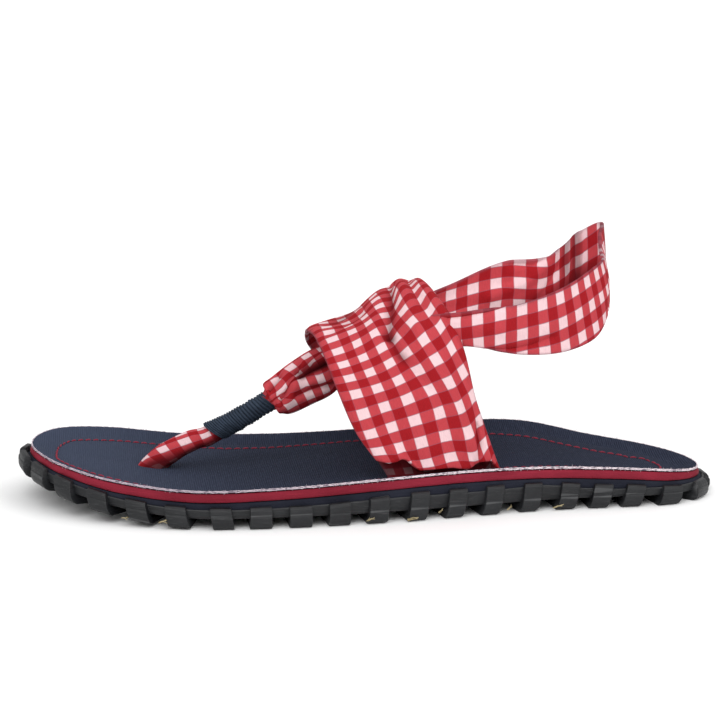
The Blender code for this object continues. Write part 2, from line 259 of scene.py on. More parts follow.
# %% Turning a mesh or a bmesh into a piece
def riding_piece(mesh, name, finish):
    """A smooth-shaded object that rides with the sandal, from a mesh."""
    mesh.materials.append(finish)
    mesh.shade_smooth()
    piece = bpy.data.objects.new(name, mesh)
    bpy.context.scene.collection.objects.link(piece)
    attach(piece, "root")
    print(name, "has", len(mesh.polygons), "faces")
    return piece


def piece_from(shape, name, finish):
    """The same from a bmesh, which is used up."""
    mesh = bpy.data.meshes.new(name)
    shape.to_mesh(mesh)
    shape.free()
    return riding_piece(mesh, name, finish)


# %% [markdown]
# ## The sole's outline
#
# The sole has a true left shape: straighter on the inner side, round at the ball and narrow at
# the waist. A short table gives the outer edge, the inner edge and the rim's height at a few
# stations, and one closed curve runs through them. Every layer of the sole is read from it, so
# the layers stay flush.

# %% Outline table
SoleRow = namedtuple("SoleRow", "station outer inner rim_outer rim_inner")
SOLE_ROWS = (
    SoleRow(0.0, 9.0, 9.0, 20.5, 20.5),
    SoleRow(3.0, -5.0, 22.0, 20.0, 21.0),
    SoleRow(12.0, -20.0, 35.0, 18.5, 20.3),
    SoleRow(30.0, -34.5, 44.0, 16.0, 17.9),
    SoleRow(58.0, -44.6, 48.7, 14.0, 13.8),
    SoleRow(90.0, -45.5, 47.5, 14.6, 13.2),
    SoleRow(124.0, -41.8, 38.0, 16.0, 16.4),
    SoleRow(158.0, -35.5, 32.5, 16.9, 20.2),
    SoleRow(188.0, -29.3, 33.5, 16.2, 19.8),
    SoleRow(214.0, -27.4, 31.0, 14.9, 14.6),
    SoleRow(235.0, -25.2, 22.0, 13.2, 12.0),
    SoleRow(246.0, -17.5, 10.0, 11.6, 11.0),
    SoleRow(250.0, -4.5, -4.5, 10.8, 10.8),
)
OUTLINE = [(row.station, row.outer, row.rim_outer) for row in SOLE_ROWS]
OUTLINE += [(row.station, row.inner, row.rim_inner) for row in SOLE_ROWS[-2:0:-1]]
SPINE_TOE = 42.0
SPINE_HEEL = 224.0
TOE_SPRING = 9.5
SPRING_STATION = 66.0
SIDE_FLARE = 0.4
END_FLARE = 2.4
HALVINGS = 40
NEARBY = 0.02


def edge(turn):
    """Station, y and rim height on the insole's edge. The turn runs once round the outline."""
    count = len(OUTLINE)
    index = math.floor(turn)
    four = [OUTLINE[(index + step) % count] for step in (-1, 0, 1, 2)]
    return through(*four, turn - index)


def spine_at(station):
    """The middle line at a station, found by halving."""
    low, high = 0.0, float(len(SOLE_ROWS) - 1)
    for _ in range(HALVINGS):
        middle = (low + high) / 2
        low, high = (middle, high) if edge(middle)[0] < station else (low, middle)
    outer, inner = edge(low), edge(len(OUTLINE) - low)
    return (station, (outer[1] + inner[1]) / 2, (outer[2] + inner[2]) / 2)


SPINE_ENDS = {SPINE_TOE: spine_at(SPINE_TOE), SPINE_HEEL: spine_at(SPINE_HEEL)}


def spine(turn):
    """The middle line beside a turn, which stays put at both ends, so that rings close on it."""
    near, far = edge(turn), edge(len(OUTLINE) - turn)
    station = (near[0] + far[0]) / 2
    held = min(max(station, SPINE_TOE), SPINE_HEEL)
    if held != station:
        return SPINE_ENDS[held]
    return (station, (near[1] + far[1]) / 2, (near[2] + far[2]) / 2)


def spring(station):
    """How far the sole lifts off the ground towards the toe."""
    return TOE_SPRING * max(1.0 - station / SPRING_STATION, 0.0) ** 2


def outward(turn):
    """The way straight out from the edge, seen from above."""
    ahead, behind = edge(turn + NEARBY), edge(turn - NEARBY)
    near, middle = edge(turn), spine(turn)
    square = Vector((behind[1] - ahead[1], ahead[0] - behind[0])).normalized()
    if square.dot(Vector((near[0] - middle[0], near[1] - middle[1]))) < 0:
        square.negate()
    return square


def flare(turn):
    """How far the sole has spread at the ground, more at toe and heel than along the sides."""
    return between(SIDE_FLARE, END_FLARE, outward(turn).x ** 4)


# %% Walking round the edge
EDGE_STEPS = 40


def walk_round():
    """The outline as (turn, length so far), for spacing lugs, stitches and threads evenly."""
    found = [(0.0, 0.0)]
    before = edge(0.0)
    for step in range(1, EDGE_STEPS * len(OUTLINE) + 1):
        point = edge(step / EDGE_STEPS)
        gone = math.hypot(point[0] - before[0], point[1] - before[1])
        found.append((step / EDGE_STEPS, found[-1][1] + gone))
        before = point
    return found


WALK_TURNS, WALK_LENGTHS = zip(*walk_round())
ROUND = WALK_LENGTHS[-1]


def turn_at(length):
    return float(np.interp(length % ROUND, WALK_LENGTHS, WALK_TURNS))


print("edge, mm round:", round(ROUND, 1))

# %% [markdown]
# ## Layer heights
#
# The stack is thickest under the heel side of the ball and thins to the toe. The canvas is
# pressed into a shallow cup: full depth nine millimetres in from the edge. Each layer's top and
# bottom are worked out here once, so every layer asks the same function.

# %% Layer heights
LUG_DEPTH = 3.7
OUTSOLE_PLATE = 2.4
PLATE_SHARE = 0.25
STRIPE_FOAM = 3.2
CANVAS = 0.9
GAP = 0.3
FULL_STACK = 9.5
THINNEST_STACK = 3.6
CUP_DEPTH = 2.4
CUP_WIDTH = 9.0
CUP_IN_FOAM = 0.35


def sole_point(turn, inset):
    """Station, y, rim height and way in, for a point moved in from the edge by inset."""
    near, middle = edge(turn), spine(turn)
    reach = math.hypot(near[0] - middle[0], near[1] - middle[1])
    share = 1.0 if inset is None else min(inset / reach, 1.0)
    station = between(near[0], middle[0], share)
    y = between(near[1], middle[1], share)
    return station, y, between(near[2], middle[2], soft_step(share)), share * reach


def sole_levels(station, rim, gone):
    """The height of every layer's top and bottom at a point that lies gone millimetres in."""
    under = LUG_DEPTH + spring(station)
    stack = rim - under
    share = (stack - THINNEST_STACK) / (FULL_STACK - THINNEST_STACK)
    cup = CUP_DEPTH * soft_step(gone / CUP_WIDTH)
    plate_top = under + min(OUTSOLE_PLATE, PLATE_SHARE * stack)
    foam_bottom = rim - CUP_IN_FOAM * cup - CANVAS - GAP - STRIPE_FOAM * min(share, 1.0)
    return {
        "plate_bottom": under,
        "plate_top": plate_top,
        "midsole_bottom": plate_top + GAP,
        "midsole_top": foam_bottom - GAP,
        "foam_bottom": foam_bottom,
        "foam_top": rim - cup - CANVAS - GAP,
        "canvas_bottom": rim - cup - CANVAS,
        "canvas_top": rim - cup,
    }


# %% [markdown]
# ## Rolling a layer
#
# A layer could be cut from a block with Booleans, but its edge would be hard to round. Instead a
# flat grid is rolled once round the sole: its columns go round the edge and its rows go over a
# profile, from the middle of the underside, out round the edge, to the middle of the top. The
# profile is a short table, so the rounding of each layer's edge is easy to read and change.

# %% Rolled layer
TURN_STEPS = 16
STRETCH_FROM = 1.0
WELD = 0.01
SLIVER = 0.005
Ring = namedtuple("Ring", "inset level lift out drop")


def roll_layer(name, finish, rings, ruffle=None, stretch=None):
    """A closed layer. Each ring says how far in it lies, which level it is on, how much it is
    lifted and pushed out, and how much of the sole's flare it takes. A ruffle shakes the rings
    on the very edge, and a stretch scales the lift of the ones above the foot."""
    shape = bmesh.new()
    around = TURN_STEPS * len(OUTLINE)
    bmesh.ops.create_grid(shape, x_segments=around, y_segments=len(rings) - 1, size=0.5)
    cache = {}
    for vert in shape.verts:
        column = round((vert.co.x + 0.5) * around) % around
        ring = rings[round((vert.co.y + 0.5) * (len(rings) - 1))]
        turn = column / TURN_STEPS
        if column not in cache:
            cache[column] = (outward(turn), flare(turn))
        across, spread = cache[column]
        station, y, rim, gone = sole_point(turn, ring.inset)
        heights = sole_levels(station, rim, gone)
        push = ring.out + ring.drop * spread
        if ruffle is not None:
            push += ruffle(station, y, ring) * (ring.inset == 0.0)
        lift = ring.lift * (stretch(station) if stretch and ring.lift > STRETCH_FROM else 1.0)
        vert.co = place(station + across.x * push, y + across.y * push, heights[ring.level] + lift)
    bmesh.ops.remove_doubles(shape, verts=shape.verts, dist=WELD * MM)
    bmesh.ops.dissolve_degenerate(shape, edges=shape.edges, dist=SLIVER * MM)
    bmesh.ops.recalc_face_normals(shape, faces=shape.faces)
    return piece_from(shape, name, finish)


INNER = (3.0, 6.0, 9.0, 13.0, 20.0, None)


def inner_rings(level, lift, reverse):
    """The hidden inside of a layer's face, in a few wide rings."""
    rings = [Ring(inset, level, lift, 0.0, 0.0) for inset in INNER]
    return rings[::-1] if reverse else rings


# %% [markdown]
# ## Rubber
#
# Moulded rubber is nearly black and not quite matt: its skin has a faint grain, a cloudy tone,
# and brighter scuffs where it rubs. Noise at three sizes gives these. Roughness follows the same
# noise, so that the scuffs are duller than the skin.

# %% Rubber finish
rubber = Recipe("moulded_rubber", roughness=0.55, gloss=0.38)
rubber_grain = rubber.noise(rubber.place, 900.0, detail=4.0)
rubber_cloud = rubber.noise(rubber.place, 60.0, detail=5.0, roughness=0.65)
rubber_scrape = rubber.noise(rubber.stretch(rubber.place, (60.0, 60.0, 900.0)), 3.0, detail=4.0)
rubber_tone = rubber.stain((0.004, 0.0045, 0.006), rubber_cloud, 0.35, 0.7, (0.013, 0.014, 0.016))
rubber_tone = rubber.stain(rubber_tone, rubber_scrape, 0.58, 0.75, (0.030, 0.031, 0.033))
rubber_worn = rubber.add("NewGeometry", {}).outputs["Pointiness"]
rubber_tone = rubber.stain(rubber_tone, rubber_worn, 0.53, 0.62, (0.085, 0.087, 0.090), 0.5)
rubber.colour(rubber_tone)
rubber.rough(rubber.ramp(rubber_cloud, 0.3, 0.75, 0.40, 0.66))
rubber.bump(rubber.math("ADD", rubber_grain, rubber.math("MULTIPLY", rubber_scrape, 2.0)), 0.00012)

# %% [markdown]
# ## Outsole plate
#
# The outsole is a thin rubber plate whose edge turns up round the foam and is cemented to it.
# Between the lugs this wall shows as a rough black strip with an uneven upper edge. It is a
# rolled layer whose outer rings are shaken by a noise. The wall's height isn't the same all the
# way: a table of stations and millimetres raises it under the arch.

# %% Outsole plate
WALL_HEIGHT = 3.4
WALL_OUT = 0.7
WALL_WAVES = 0.28
WALL_PITS = 0.16
WALL_RISE = (
    (80.0, 0.0), (97.0, 0.6), (115.0, 1.4), (133.0, 1.9), (163.0, 1.9), (179.0, 2.2), (187.0, 2.5),
    (195.0, 1.7), (202.0, 0.6), (215.0, -0.2), (250.0, -0.3),
)


def wall_stretch(station):
    """The wall stands taller under the arch, and a little lower at the back of the heel."""
    return 1.0 + read_pairs(WALL_RISE, station) / WALL_HEIGHT


def wall_ruffle(station, y, ring):
    """Long waves along the edge, and small pits."""
    waves = noise.noise(Vector((station * 0.35, y * 0.35, ring.lift * 0.9)))
    pits = noise.noise(Vector((station * 1.3 + 40.0, y * 1.3, ring.lift * 1.7)))
    return WALL_WAVES * waves + WALL_PITS * pits


WallRing = namedtuple("WallRing", "lift out drop")
WALL_RINGS = (
    WallRing(0.15, -0.35, 1.0),
    WallRing(0.5, 0.0, 1.0),
    WallRing(1.1, -0.1, 1.0),
    WallRing(1.7, 0.05, 0.98),
    WallRing(2.3, -0.1, 0.95),
    WallRing(2.9, 0.0, 0.9),
    WallRing(WALL_HEIGHT - 0.1, -0.15, 0.9),
    WallRing(WALL_HEIGHT, -0.4, 0.9),
)
plate_rings = inner_rings("plate_bottom", 0.0, reverse=True)
plate_rings.append(Ring(0.5, "plate_bottom", 0.0, 0.0, 0.6))
plate_rings += [Ring(0.0, "plate_bottom", lift, WALL_OUT + out, drop) for lift, out, drop in WALL_RINGS]
plate_rings += [
    Ring(0.1, "plate_bottom", WALL_HEIGHT - 1.1, 0.0, 0.9),
    Ring(0.8, "plate_bottom", WALL_HEIGHT - 1.2, 0.0, 0.8),
    Ring(1.4, "plate_top", 0.0, 0.0, 0.4),
]
plate_rings += inner_rings("plate_top", 0.0, reverse=False)
outsole = roll_layer("outsole_plate", rubber.material, plate_rings, wall_ruffle, wall_stretch)

# %% [markdown]
# ## Lugs
#
# Forty-one blocks wrap the edge, each with a cap that laps up over the foam. One block is a
# profile face pushed through its width, so that is how it is made: the profile is drawn across
# the edge, extruded to the block's other side, and its edges are bevelled, because moulded
# rubber has no sharp corner. All blocks share one mesh. They stand evenly round the inner side.
# On the outer side they don't, so tables of stations and millimetres say how far each block is
# shifted along the edge, how far its cap rises, and how far its foot fans out to the heel.
# Chance and noise both start from a set seed, so that each run makes the same sandal.

# %% Lug profile
LUG_COUNT = 41
LUG_WIDTH = 8.0
LUG_PHASE = 0.63
LUG_ROUNDING = 0.85
LUG_HEIGHT = 8.0
CAP_FOOT = 4.6
CAP_BLEND = 2.0
LugPoint = namedtuple("LugPoint", "out up")
LUG_PROFILE = (
    LugPoint(-15.0, 0.0),
    LugPoint(0.7, 0.0),
    LugPoint(2.1, 0.5),
    LugPoint(2.8, 1.4),
    LugPoint(3.15, 2.7),
    LugPoint(3.1, 4.5),
    LugPoint(2.65, 5.0),
    LugPoint(2.75, 5.5),
    LugPoint(2.5, 6.9),
    LugPoint(1.7, 7.9),
    LugPoint(0.2, 8.1),
    LugPoint(-0.6, 4.6),
    LugPoint(-15.0, 4.4),
)
LUG_SHIFTS = (
    (0.0, -3.0), (17.0, -4.0), (36.0, -2.2), (52.0, -1.8), (68.0, 0.3), (118.0, 0.6), (134.0, 2.2),
    (150.0, 2.7), (172.0, 3.0), (189.0, 4.6), (203.0, 3.2), (218.0, 0.9), (233.0, 0.6), (250.0, 0.0),
)
LUG_RISE = (
    (105.0, 0.0), (121.0, 1.5), (137.0, 2.7), (172.0, 2.9), (190.0, 2.6), (196.0, 2.1), (203.0, 1.5),
    (210.0, 0.9), (221.0, 0.5), (230.0, -0.3), (238.0, -1.2), (250.0, -1.2),
)
LUG_FAN = ((20.0, 3.0), (60.0, 1.6), (85.0, 0.0), (110.0, -0.4), (165.0, -2.6), (250.0, -2.6))


def lug_place(along):
    """A block's place along the edge, and how far its foot leans to the heel."""
    station = edge(turn_at(along))[0]
    across = outward(turn_at(along))
    if across.y < 0.0:
        along += read_pairs(LUG_SHIFTS, station)
    return along, -across.y * read_pairs(LUG_FAN, station)


def lug_section(turn, lean):
    """The profile stood across the edge, its lower part leaned along the edge a little."""
    near, across, spread = edge(turn), outward(turn), flare(turn)
    along_edge = Vector((-across.y, across.x))
    points = []
    rise = read_pairs(LUG_RISE, near[0])
    for out, up in LUG_PROFILE:
        slide = lean * (1.0 - up / LUG_HEIGHT)
        up += rise * soft_step((up - CAP_FOOT) / CAP_BLEND) * (out > 0.0)
        station = near[0] + across.x * (out + spread) + along_edge.x * slide
        y = near[1] + across.y * (out + spread) + along_edge.y * slide
        points.append(place(station, y, up + spring(station)))
    return points


def round_edges(shape, offset, segments):
    """Bevels every edge of a rubber block."""
    bmesh.ops.bevel(
        shape, geom=shape.edges[:], offset=offset * MM, offset_type="OFFSET", segments=segments,
        profile=0.5, affect="EDGES", material=-1, clamp_overlap=True,
    )


# %% Make the lugs
LUG_NARROWING = ((110.0, 1.0), (140.0, 0.91))
LUG_NARROWEST = 0.94
LUG_WOBBLE = 0.25
LUG_ROUGH = 0.13
LUG_ROUGH_SCALE = 260.0
random.seed(11)
noise.seed_set(11)
lug_shape = bmesh.new()
for number in range(LUG_COUNT):
    one = bmesh.new()
    middle, lean = lug_place((number + LUG_PHASE) * ROUND / LUG_COUNT)
    narrow = read_pairs(LUG_NARROWING, edge(turn_at(middle))[0])
    half = LUG_WIDTH / 2 * random.uniform(LUG_NARROWEST, 1.0) * narrow
    lean += random.uniform(-LUG_WOBBLE, LUG_WOBBLE)
    first = lug_section(turn_at(middle - half), lean)
    second = lug_section(turn_at(middle + half), lean)
    profile = one.faces.new([one.verts.new(point) for point in first])
    pushed = bmesh.ops.extrude_face_region(one, geom=[profile], use_keep_orig=True)
    moved = [item for item in pushed["geom"] if isinstance(item, bmesh.types.BMVert)]
    for vert in moved:
        start = min(range(len(first)), key=lambda index: (first[index] - vert.co).length)
        vert.co = second[start]
    bmesh.ops.recalc_face_normals(one, faces=one.faces)
    round_edges(one, LUG_ROUNDING, 3)
    for vert in one.verts:
        vert.co += noise.noise_vector(vert.co * LUG_ROUGH_SCALE) * LUG_ROUGH * MM
    block = bpy.data.meshes.new("block")
    one.to_mesh(block)
    one.free()
    lug_shape.from_mesh(block)
    bpy.data.meshes.remove(block)
lugs = piece_from(lug_shape, "outsole_lugs", rubber.material)

# %% [markdown]
# ## Tread studs
#
# Under the sole a row of wide blocks runs down the middle. They are hardly seen when the sandal
# stands, but they are there when it is turned over. Each is a cube, sized, bevelled and set in.

# %% Tread studs
STUD_COUNT = 12
STUD_START = 38.0
STUD_PITCH = 16.0
STUD_LENGTH = 11.0
STUD_WIDTH = 16.0
STUD_SUNK = 0.5
STUD_ROUNDING = 0.6
stud_shape = bmesh.new()
for number in range(STUD_COUNT):
    station = STUD_START + STUD_PITCH * number
    middle = spine_at(station)
    made = bmesh.ops.create_cube(stud_shape, size=1.0)["verts"]
    for vert in made:
        at = station + vert.co.x * STUD_LENGTH
        high = (vert.co.z + 0.5) * (LUG_DEPTH + STUD_SUNK)
        vert.co = place(at, middle[1] + vert.co.y * STUD_WIDTH, high + spring(at))
round_edges(stud_shape, STUD_ROUNDING, 2)
studs = piece_from(stud_shape, "outsole_studs", rubber.material)
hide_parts("outsole")

# %% [markdown]
# ## Foam
#
# The midsole is cut from navy foam and the stripe above it from red foam. A cut edge shows
# tiny cells and a slight bow outwards. The cells are a fine bump with a Voronoi texture, the
# bow is in the rings, and the colour drifts a little, as foam is never one flat tone.


# %% Foam finish
def foam_finish(name, dark, light):
    foam = Recipe(name, roughness=0.85, gloss=0.15)
    cells = foam.add("TexVoronoi", {"Vector": foam.place, "Scale": 1500.0}).outputs["Distance"]
    drift = foam.noise(foam.place, 45.0, detail=4.0)
    streak = foam.noise(foam.stretch(foam.place, (40.0, 40.0, 900.0)), 2.0, detail=3.0)
    tone = foam.stain(dark, drift, 0.3, 0.7, light)
    tone = foam.stain(tone, streak, 0.55, 0.8, [value * 1.5 for value in light], 0.35)
    foam.colour(tone)
    foam.bump(foam.math("ADD", cells, streak), 0.00012)
    return foam.material


navy_foam = foam_finish("navy_foam_cut", (0.008, 0.009, 0.016), (0.016, 0.018, 0.029))
red_foam = foam_finish("red_foam_cut", (0.160, 0.010, 0.021), (0.235, 0.017, 0.034))


# %% Midsole and stripe
FOAM_ROUNDING = 0.2
FOAM_BOW_AT = 0.9
FOAM_FACE_IN = 0.6
FOAM_FACE_SUNK = -0.2
FOAM_WAVES = 0.10


def side_rings(bottom, top, low_drop, high_drop, bow):
    """The outer face of a foam layer from its lower edge to its upper edge."""
    return [
        Ring(FOAM_FACE_IN, bottom, 0.0, 0.0, low_drop),
        Ring(0.0, bottom, 0.0, -FOAM_ROUNDING, low_drop),
        Ring(0.0, bottom, FOAM_ROUNDING, 0.0, low_drop),
        Ring(0.0, bottom, FOAM_BOW_AT, bow, between(low_drop, high_drop, 0.35)),
        Ring(0.0, top, -FOAM_BOW_AT, bow, between(low_drop, high_drop, 0.65)),
        Ring(0.0, top, -FOAM_ROUNDING, 0.0, high_drop),
        Ring(0.0, top, 0.0, -FOAM_ROUNDING, high_drop),
        Ring(FOAM_FACE_IN, top, 0.0, 0.0, high_drop),
    ]


def foam_ruffle(station, y, ring):
    """A cut edge isn't quite straight."""
    return FOAM_WAVES * noise.noise(Vector((station * 0.25, y * 0.25, ring.lift * 0.8)))


def foam_layer(name, finish, bottom, top, low_drop, high_drop, bow):
    """A foam layer: its underside, its outer face and its top."""
    rings = inner_rings(bottom, FOAM_FACE_SUNK, reverse=True)
    rings += side_rings(bottom, top, low_drop, high_drop, bow)
    rings += inner_rings(top, 0.0, reverse=False)
    return roll_layer(name, finish, rings, foam_ruffle)


midsole = foam_layer("midsole_foam", navy_foam, "midsole_bottom", "midsole_top", 0.85, 0.45, 0.12)
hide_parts("midsole")
stripe = foam_layer("stripe_foam", red_foam, "foam_bottom", "foam_top", 0.40, 0.10, 0.15)
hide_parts("footbed_foam")

# %% [markdown]
# ## Canvas insole
#
# The insole is a ribbed slate canvas. It is cupped towards the rim, and has a faint crease where
# the cup's wall meets its floor. The cup and the crease are real rings of the layer. The ribs run
# across the shoe and are under a millimetre apart, so they are a wave bump and a change of tone,
# with slubs from a noise that is stretched along the ribs.

# %% Canvas finish
RIB_PITCH = 0.8
canvas = Recipe("ribbed_canvas", roughness=0.95, gloss=0.06)
canvas_bend = canvas.noise(canvas.place, 90.0, detail=2.0)
canvas_x = canvas.add("SeparateXYZ", {"Vector": canvas.place}).outputs["X"]
canvas_drift = canvas.math("MULTIPLY", canvas_bend, 1.2)
canvas_count = canvas.math("MULTIPLY_ADD", canvas_x, 1.0 / (RIB_PITCH * MM), canvas_drift)
canvas_rib = canvas.math("MULTIPLY", canvas.math("PINGPONG", canvas_count, 0.5), 2.0)
canvas_slub = canvas.noise(canvas.stretch(canvas.place, (2500.0, 260.0, 260.0)), 1.0, detail=3.0)
canvas_wear = canvas.noise(canvas.place, 22.0, detail=5.0, roughness=0.6)
canvas_tone = canvas.mix(canvas_rib, (0.013, 0.016, 0.028), (0.034, 0.041, 0.068))
canvas_tone = canvas.stain(canvas_tone, canvas_slub, 0.45, 0.75, (0.046, 0.056, 0.088), 0.55)
canvas_tone = canvas.stain(canvas_tone, canvas_wear, 0.35, 0.75, (0.017, 0.020, 0.034), 0.45)
# Painted light: the canvas is made lighter towards the toe end.
toe_painted_light = canvas.ramp(canvas_x, -0.115, -0.035, 1.0, 0.0)
canvas_tone = canvas.mix(canvas.math("MULTIPLY", toe_painted_light, 0.45), canvas_tone, (0.070, 0.088, 0.138))
canvas.colour(canvas_tone)
canvas.bump(canvas.math("ADD", canvas_rib, canvas.math("MULTIPLY", canvas_slub, 0.7)), 0.00018)

# %% Canvas layer
CREASE_INSET = 9.0
CREASE_DEPTH = 0.12
CREASE_WIDTH = 0.75
CANVAS_INSETS = (
    0.3, 0.8, 1.5, 2.5, 3.5, 4.5, 5.5, 6.5, 7.3, 8.0, 8.5, 9.0, 9.5, 10.0, 10.7, 12.0, 15.0, 20.0,
    26.0, None,
)


def crease_at(inset):
    return 0.0 if inset is None else -CREASE_DEPTH * hump(inset - CREASE_INSET, CREASE_WIDTH)


canvas_rings = inner_rings("canvas_bottom", -0.1, reverse=True)
canvas_rings += [
    Ring(0.3, "canvas_bottom", 0.0, 0.0, 0.0),
    Ring(0.0, "canvas_bottom", 0.15, 0.0, 0.0),
    Ring(0.0, "canvas_top", -0.25, 0.05, 0.0),
    Ring(0.0, "canvas_top", -0.05, -0.15, 0.0),
]
canvas_rings += [Ring(inset, "canvas_top", crease_at(inset), 0.0, 0.0) for inset in CANVAS_INSETS]
insole = roll_layer("insole_canvas_top", canvas.material, canvas_rings)
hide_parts("insole_canvas")


# %% [markdown]
# ## Sowing many small things
#
# Stitches, dots of painted shade at the needle holes, frayed threads and scraps of cord are each
# one tiny mesh laid down many times. One object per thread would be slow, so the helper copies a
# template's points to every place in one go and joins the copies in one mesh.


# %% Sowing helper
def sow(name, templates, places, finish):
    """One mesh of many copies. Each place is (template number, 4x4 matrix)."""
    arrays = []
    for template in templates:
        mesh = bpy.data.meshes.new("template")
        template.to_mesh(mesh)
        template.free()
        points = np.array([vert.co[:] for vert in mesh.vertices])
        arrays.append((points, [tuple(face.vertices) for face in mesh.polygons]))
        bpy.data.meshes.remove(mesh)
    points, faces = [], []
    count = 0
    for kind, matrix in places:
        own, polygons = arrays[kind]
        turn = np.array(matrix.to_3x3())
        points.append(own @ turn.T + np.array(matrix.translation))
        faces.extend(tuple(index + count for index in polygon) for polygon in polygons)
        count += len(own)
    mesh = bpy.data.meshes.new(name)
    mesh.from_pydata(np.concatenate(points), [], faces)
    return riding_piece(mesh, name, finish)


def basis(along_axis, up_axis, origin, scale=1.0):
    """A matrix that lays a template's X along one way and its Z near another."""
    along_axis = along_axis.normalized()
    side = up_axis.cross(along_axis).normalized()
    upright = along_axis.cross(side)
    matrix = Matrix((along_axis, side, upright)).transposed() * scale
    return Matrix.Translation(origin) @ matrix.to_4x4()


def canvas_surface(turn, inset):
    """A point on the canvas's top."""
    station, y, rim, gone = sole_point(turn, inset)
    return place(station, y, sole_levels(station, rim, gone)["canvas_top"] + crease_at(inset))


# %% [markdown]
# ## Stitches
#
# A lock stitch shows as a short fat dash that dives into the cloth at both ends. The template
# is a small sphere drawn out to a dash, its ends bent down. The seam doesn't keep one distance
# from the edge, so a table has its distance at turns of the outline. Dashes are laid along it
# evenly, each turned a few degrees, as a machine's slanted stitch is. Between two dashes a dark
# flat dot of painted shade stands for the shadow in the needle's hole.

# %% Thread finish
stitch_thread = Recipe("red_thread", roughness=0.7)
stitch_twist = stitch_thread.noise(stitch_thread.place, 1800.0, detail=2.0)
stitch_thread.colour(stitch_thread.mix(stitch_twist, (0.09, 0.010, 0.022), (0.34, 0.030, 0.058)))
stitch_thread.bump(stitch_twist, 0.0001)

# %% One stitch and one dot of painted shade for a needle hole
STITCH_PITCH = 3.3
STITCH_LENGTH = 2.95
STITCH_THICK = 0.72
STITCH_SLANT = math.radians(9.0)
STITCH_DIP = 0.35
STITCH_LIFT = 0.18
HOLE_SIZE = (0.95, 0.8, 0.3)
lying = Matrix.Rotation(math.pi / 2, 4, "Y")
dash = bmesh.new()
bmesh.ops.create_uvsphere(dash, u_segments=8, v_segments=7, radius=0.5, matrix=lying)
for vert in dash.verts:
    dip = (2.0 * vert.co.x) ** 4 * STITCH_DIP
    x, y, z = vert.co
    vert.co = Vector((x * STITCH_LENGTH, y * STITCH_THICK, z * STITCH_THICK - dip)) * MM
# A dark flat dot of painted shade stands for the shadow in a needle hole.
painted_hole_shade = bmesh.new()
bmesh.ops.create_uvsphere(painted_hole_shade, u_segments=8, v_segments=5, radius=0.5)
for vert in painted_hole_shade.verts:
    vert.co = Vector([side * size for side, size in zip(vert.co, HOLE_SIZE)]) * MM
hole_shade = Recipe("painted_hole_shade", roughness=0.95)
hole_grain = hole_shade.noise(hole_shade.place, 900.0)
hole_shade.colour(hole_shade.mix(hole_grain, (0.004, 0.005, 0.008), (0.010, 0.011, 0.016)))

# %% The seam's course
SEAM = (
    (0.0, 9.2), (0.5, 8.2), (1.0, 6.0), (1.5, 3.0), (2.0, 1.8), (2.6, 2.0), (3.2, 5.0),
    (3.8, 8.0), (9.6, 8.0), (10.0, 8.6), (10.5, 11.4), (11.0, 14.0), (11.5, 16.0), (12.0, 17.8),
    (12.5, 17.4), (13.0, 19.0), (13.5, 20.5), (14.0, 21.5), (14.5, 22.5), (15.0, 21.7),
    (15.5, 19.0), (16.0, 15.0), (16.6, 12.4), (17.5, 11.8), (18.1, 10.2), (18.6, 13.2),
    (19.0, 15.7), (19.5, 16.4), (20.1, 12.6), (21.5, 13.0), (22.1, 12.0), (22.6, 10.2),
    (23.5, 9.6), (24.0, 9.2),
)


def seam_inset(turn):
    """How far in from the edge the seam lies, in millimetres."""
    return read_pairs(SEAM, turn % len(OUTLINE))


def seam_surface(turn):
    return canvas_surface(turn, seam_inset(turn))


SEAM_STEPS = 1500
seam_turns = [turn_at(number * ROUND / SEAM_STEPS) for number in range(SEAM_STEPS)]
seam_turns.append(float(len(OUTLINE)))
seam_points = [seam_surface(turn) for turn in seam_turns]
seam_run = [0.0]
for first, second in zip(seam_points, seam_points[1:]):
    seam_run.append(seam_run[-1] + (second - first).length / MM)
print("seam, mm round:", round(seam_run[-1], 1))

# %% Sew along the seam
AHEAD = 0.8
stitch_count = round(seam_run[-1] / STITCH_PITCH)
stitch_places = []
hole_places = []
for number in range(stitch_count):
    along = number * seam_run[-1] / stitch_count
    middle = float(np.interp(along, seam_run, seam_turns))
    ahead = float(np.interp(along + AHEAD, seam_run, seam_turns))
    here = seam_surface(middle)
    run = (seam_surface(ahead) - here).normalized()
    inset = seam_inset(middle)
    up = run.cross(canvas_surface(middle, inset + 1.0) - canvas_surface(middle, inset - 1.0))
    up = up if up.z > 0 else -up
    run = Matrix.Rotation(STITCH_SLANT, 3, up) @ run
    stitch_places.append((0, basis(run, up, here + up.normalized() * STITCH_LIFT * MM)))
    hole_places.append((0, basis(run, up, here + run * STITCH_PITCH * 0.5 * MM)))
stitches = sow("insole_stitches", [dash], stitch_places, stitch_thread.material)
holes = sow("painted_hole_shades", [painted_hole_shade], hole_places, hole_shade.material)

# %% [markdown]
# ## Frayed edge
#
# The canvas is cut raw, and its white core threads fray all the way round. A few short bent
# threads are modelled as thin tubes, and thousands of copies are sown along the edge, pointing
# out and down with some curl. Under them two wavy yarns close the line, so that no gap shows.


# %% Bent threads
THREAD_CUTS = 3
SIDE_BEND = 0.35
SIDE_WAVE = 5.0


def bent_thread(length, bend, thick):
    """A thin three-sided thread from the origin along X, bent upwards and a little sideways."""
    shape = bmesh.new()
    bmesh.ops.create_cone(
        shape, cap_ends=True, segments=3, radius1=thick / 2, radius2=thick / 3, depth=length,
        matrix=Matrix.Translation((length / 2, 0.0, 0.0)) @ lying,
    )
    long_edges = [item for item in shape.edges if item.calc_length() > length / 2]
    bmesh.ops.subdivide_edges(shape, edges=long_edges, cuts=THREAD_CUTS, use_grid_fill=False)
    for vert in shape.verts:
        share = vert.co.x / length
        vert.co.z += bend * length * share * share
        vert.co.y += SIDE_BEND * bend * length * math.sin(share * SIDE_WAVE) * share
        vert.co *= MM
    return shape


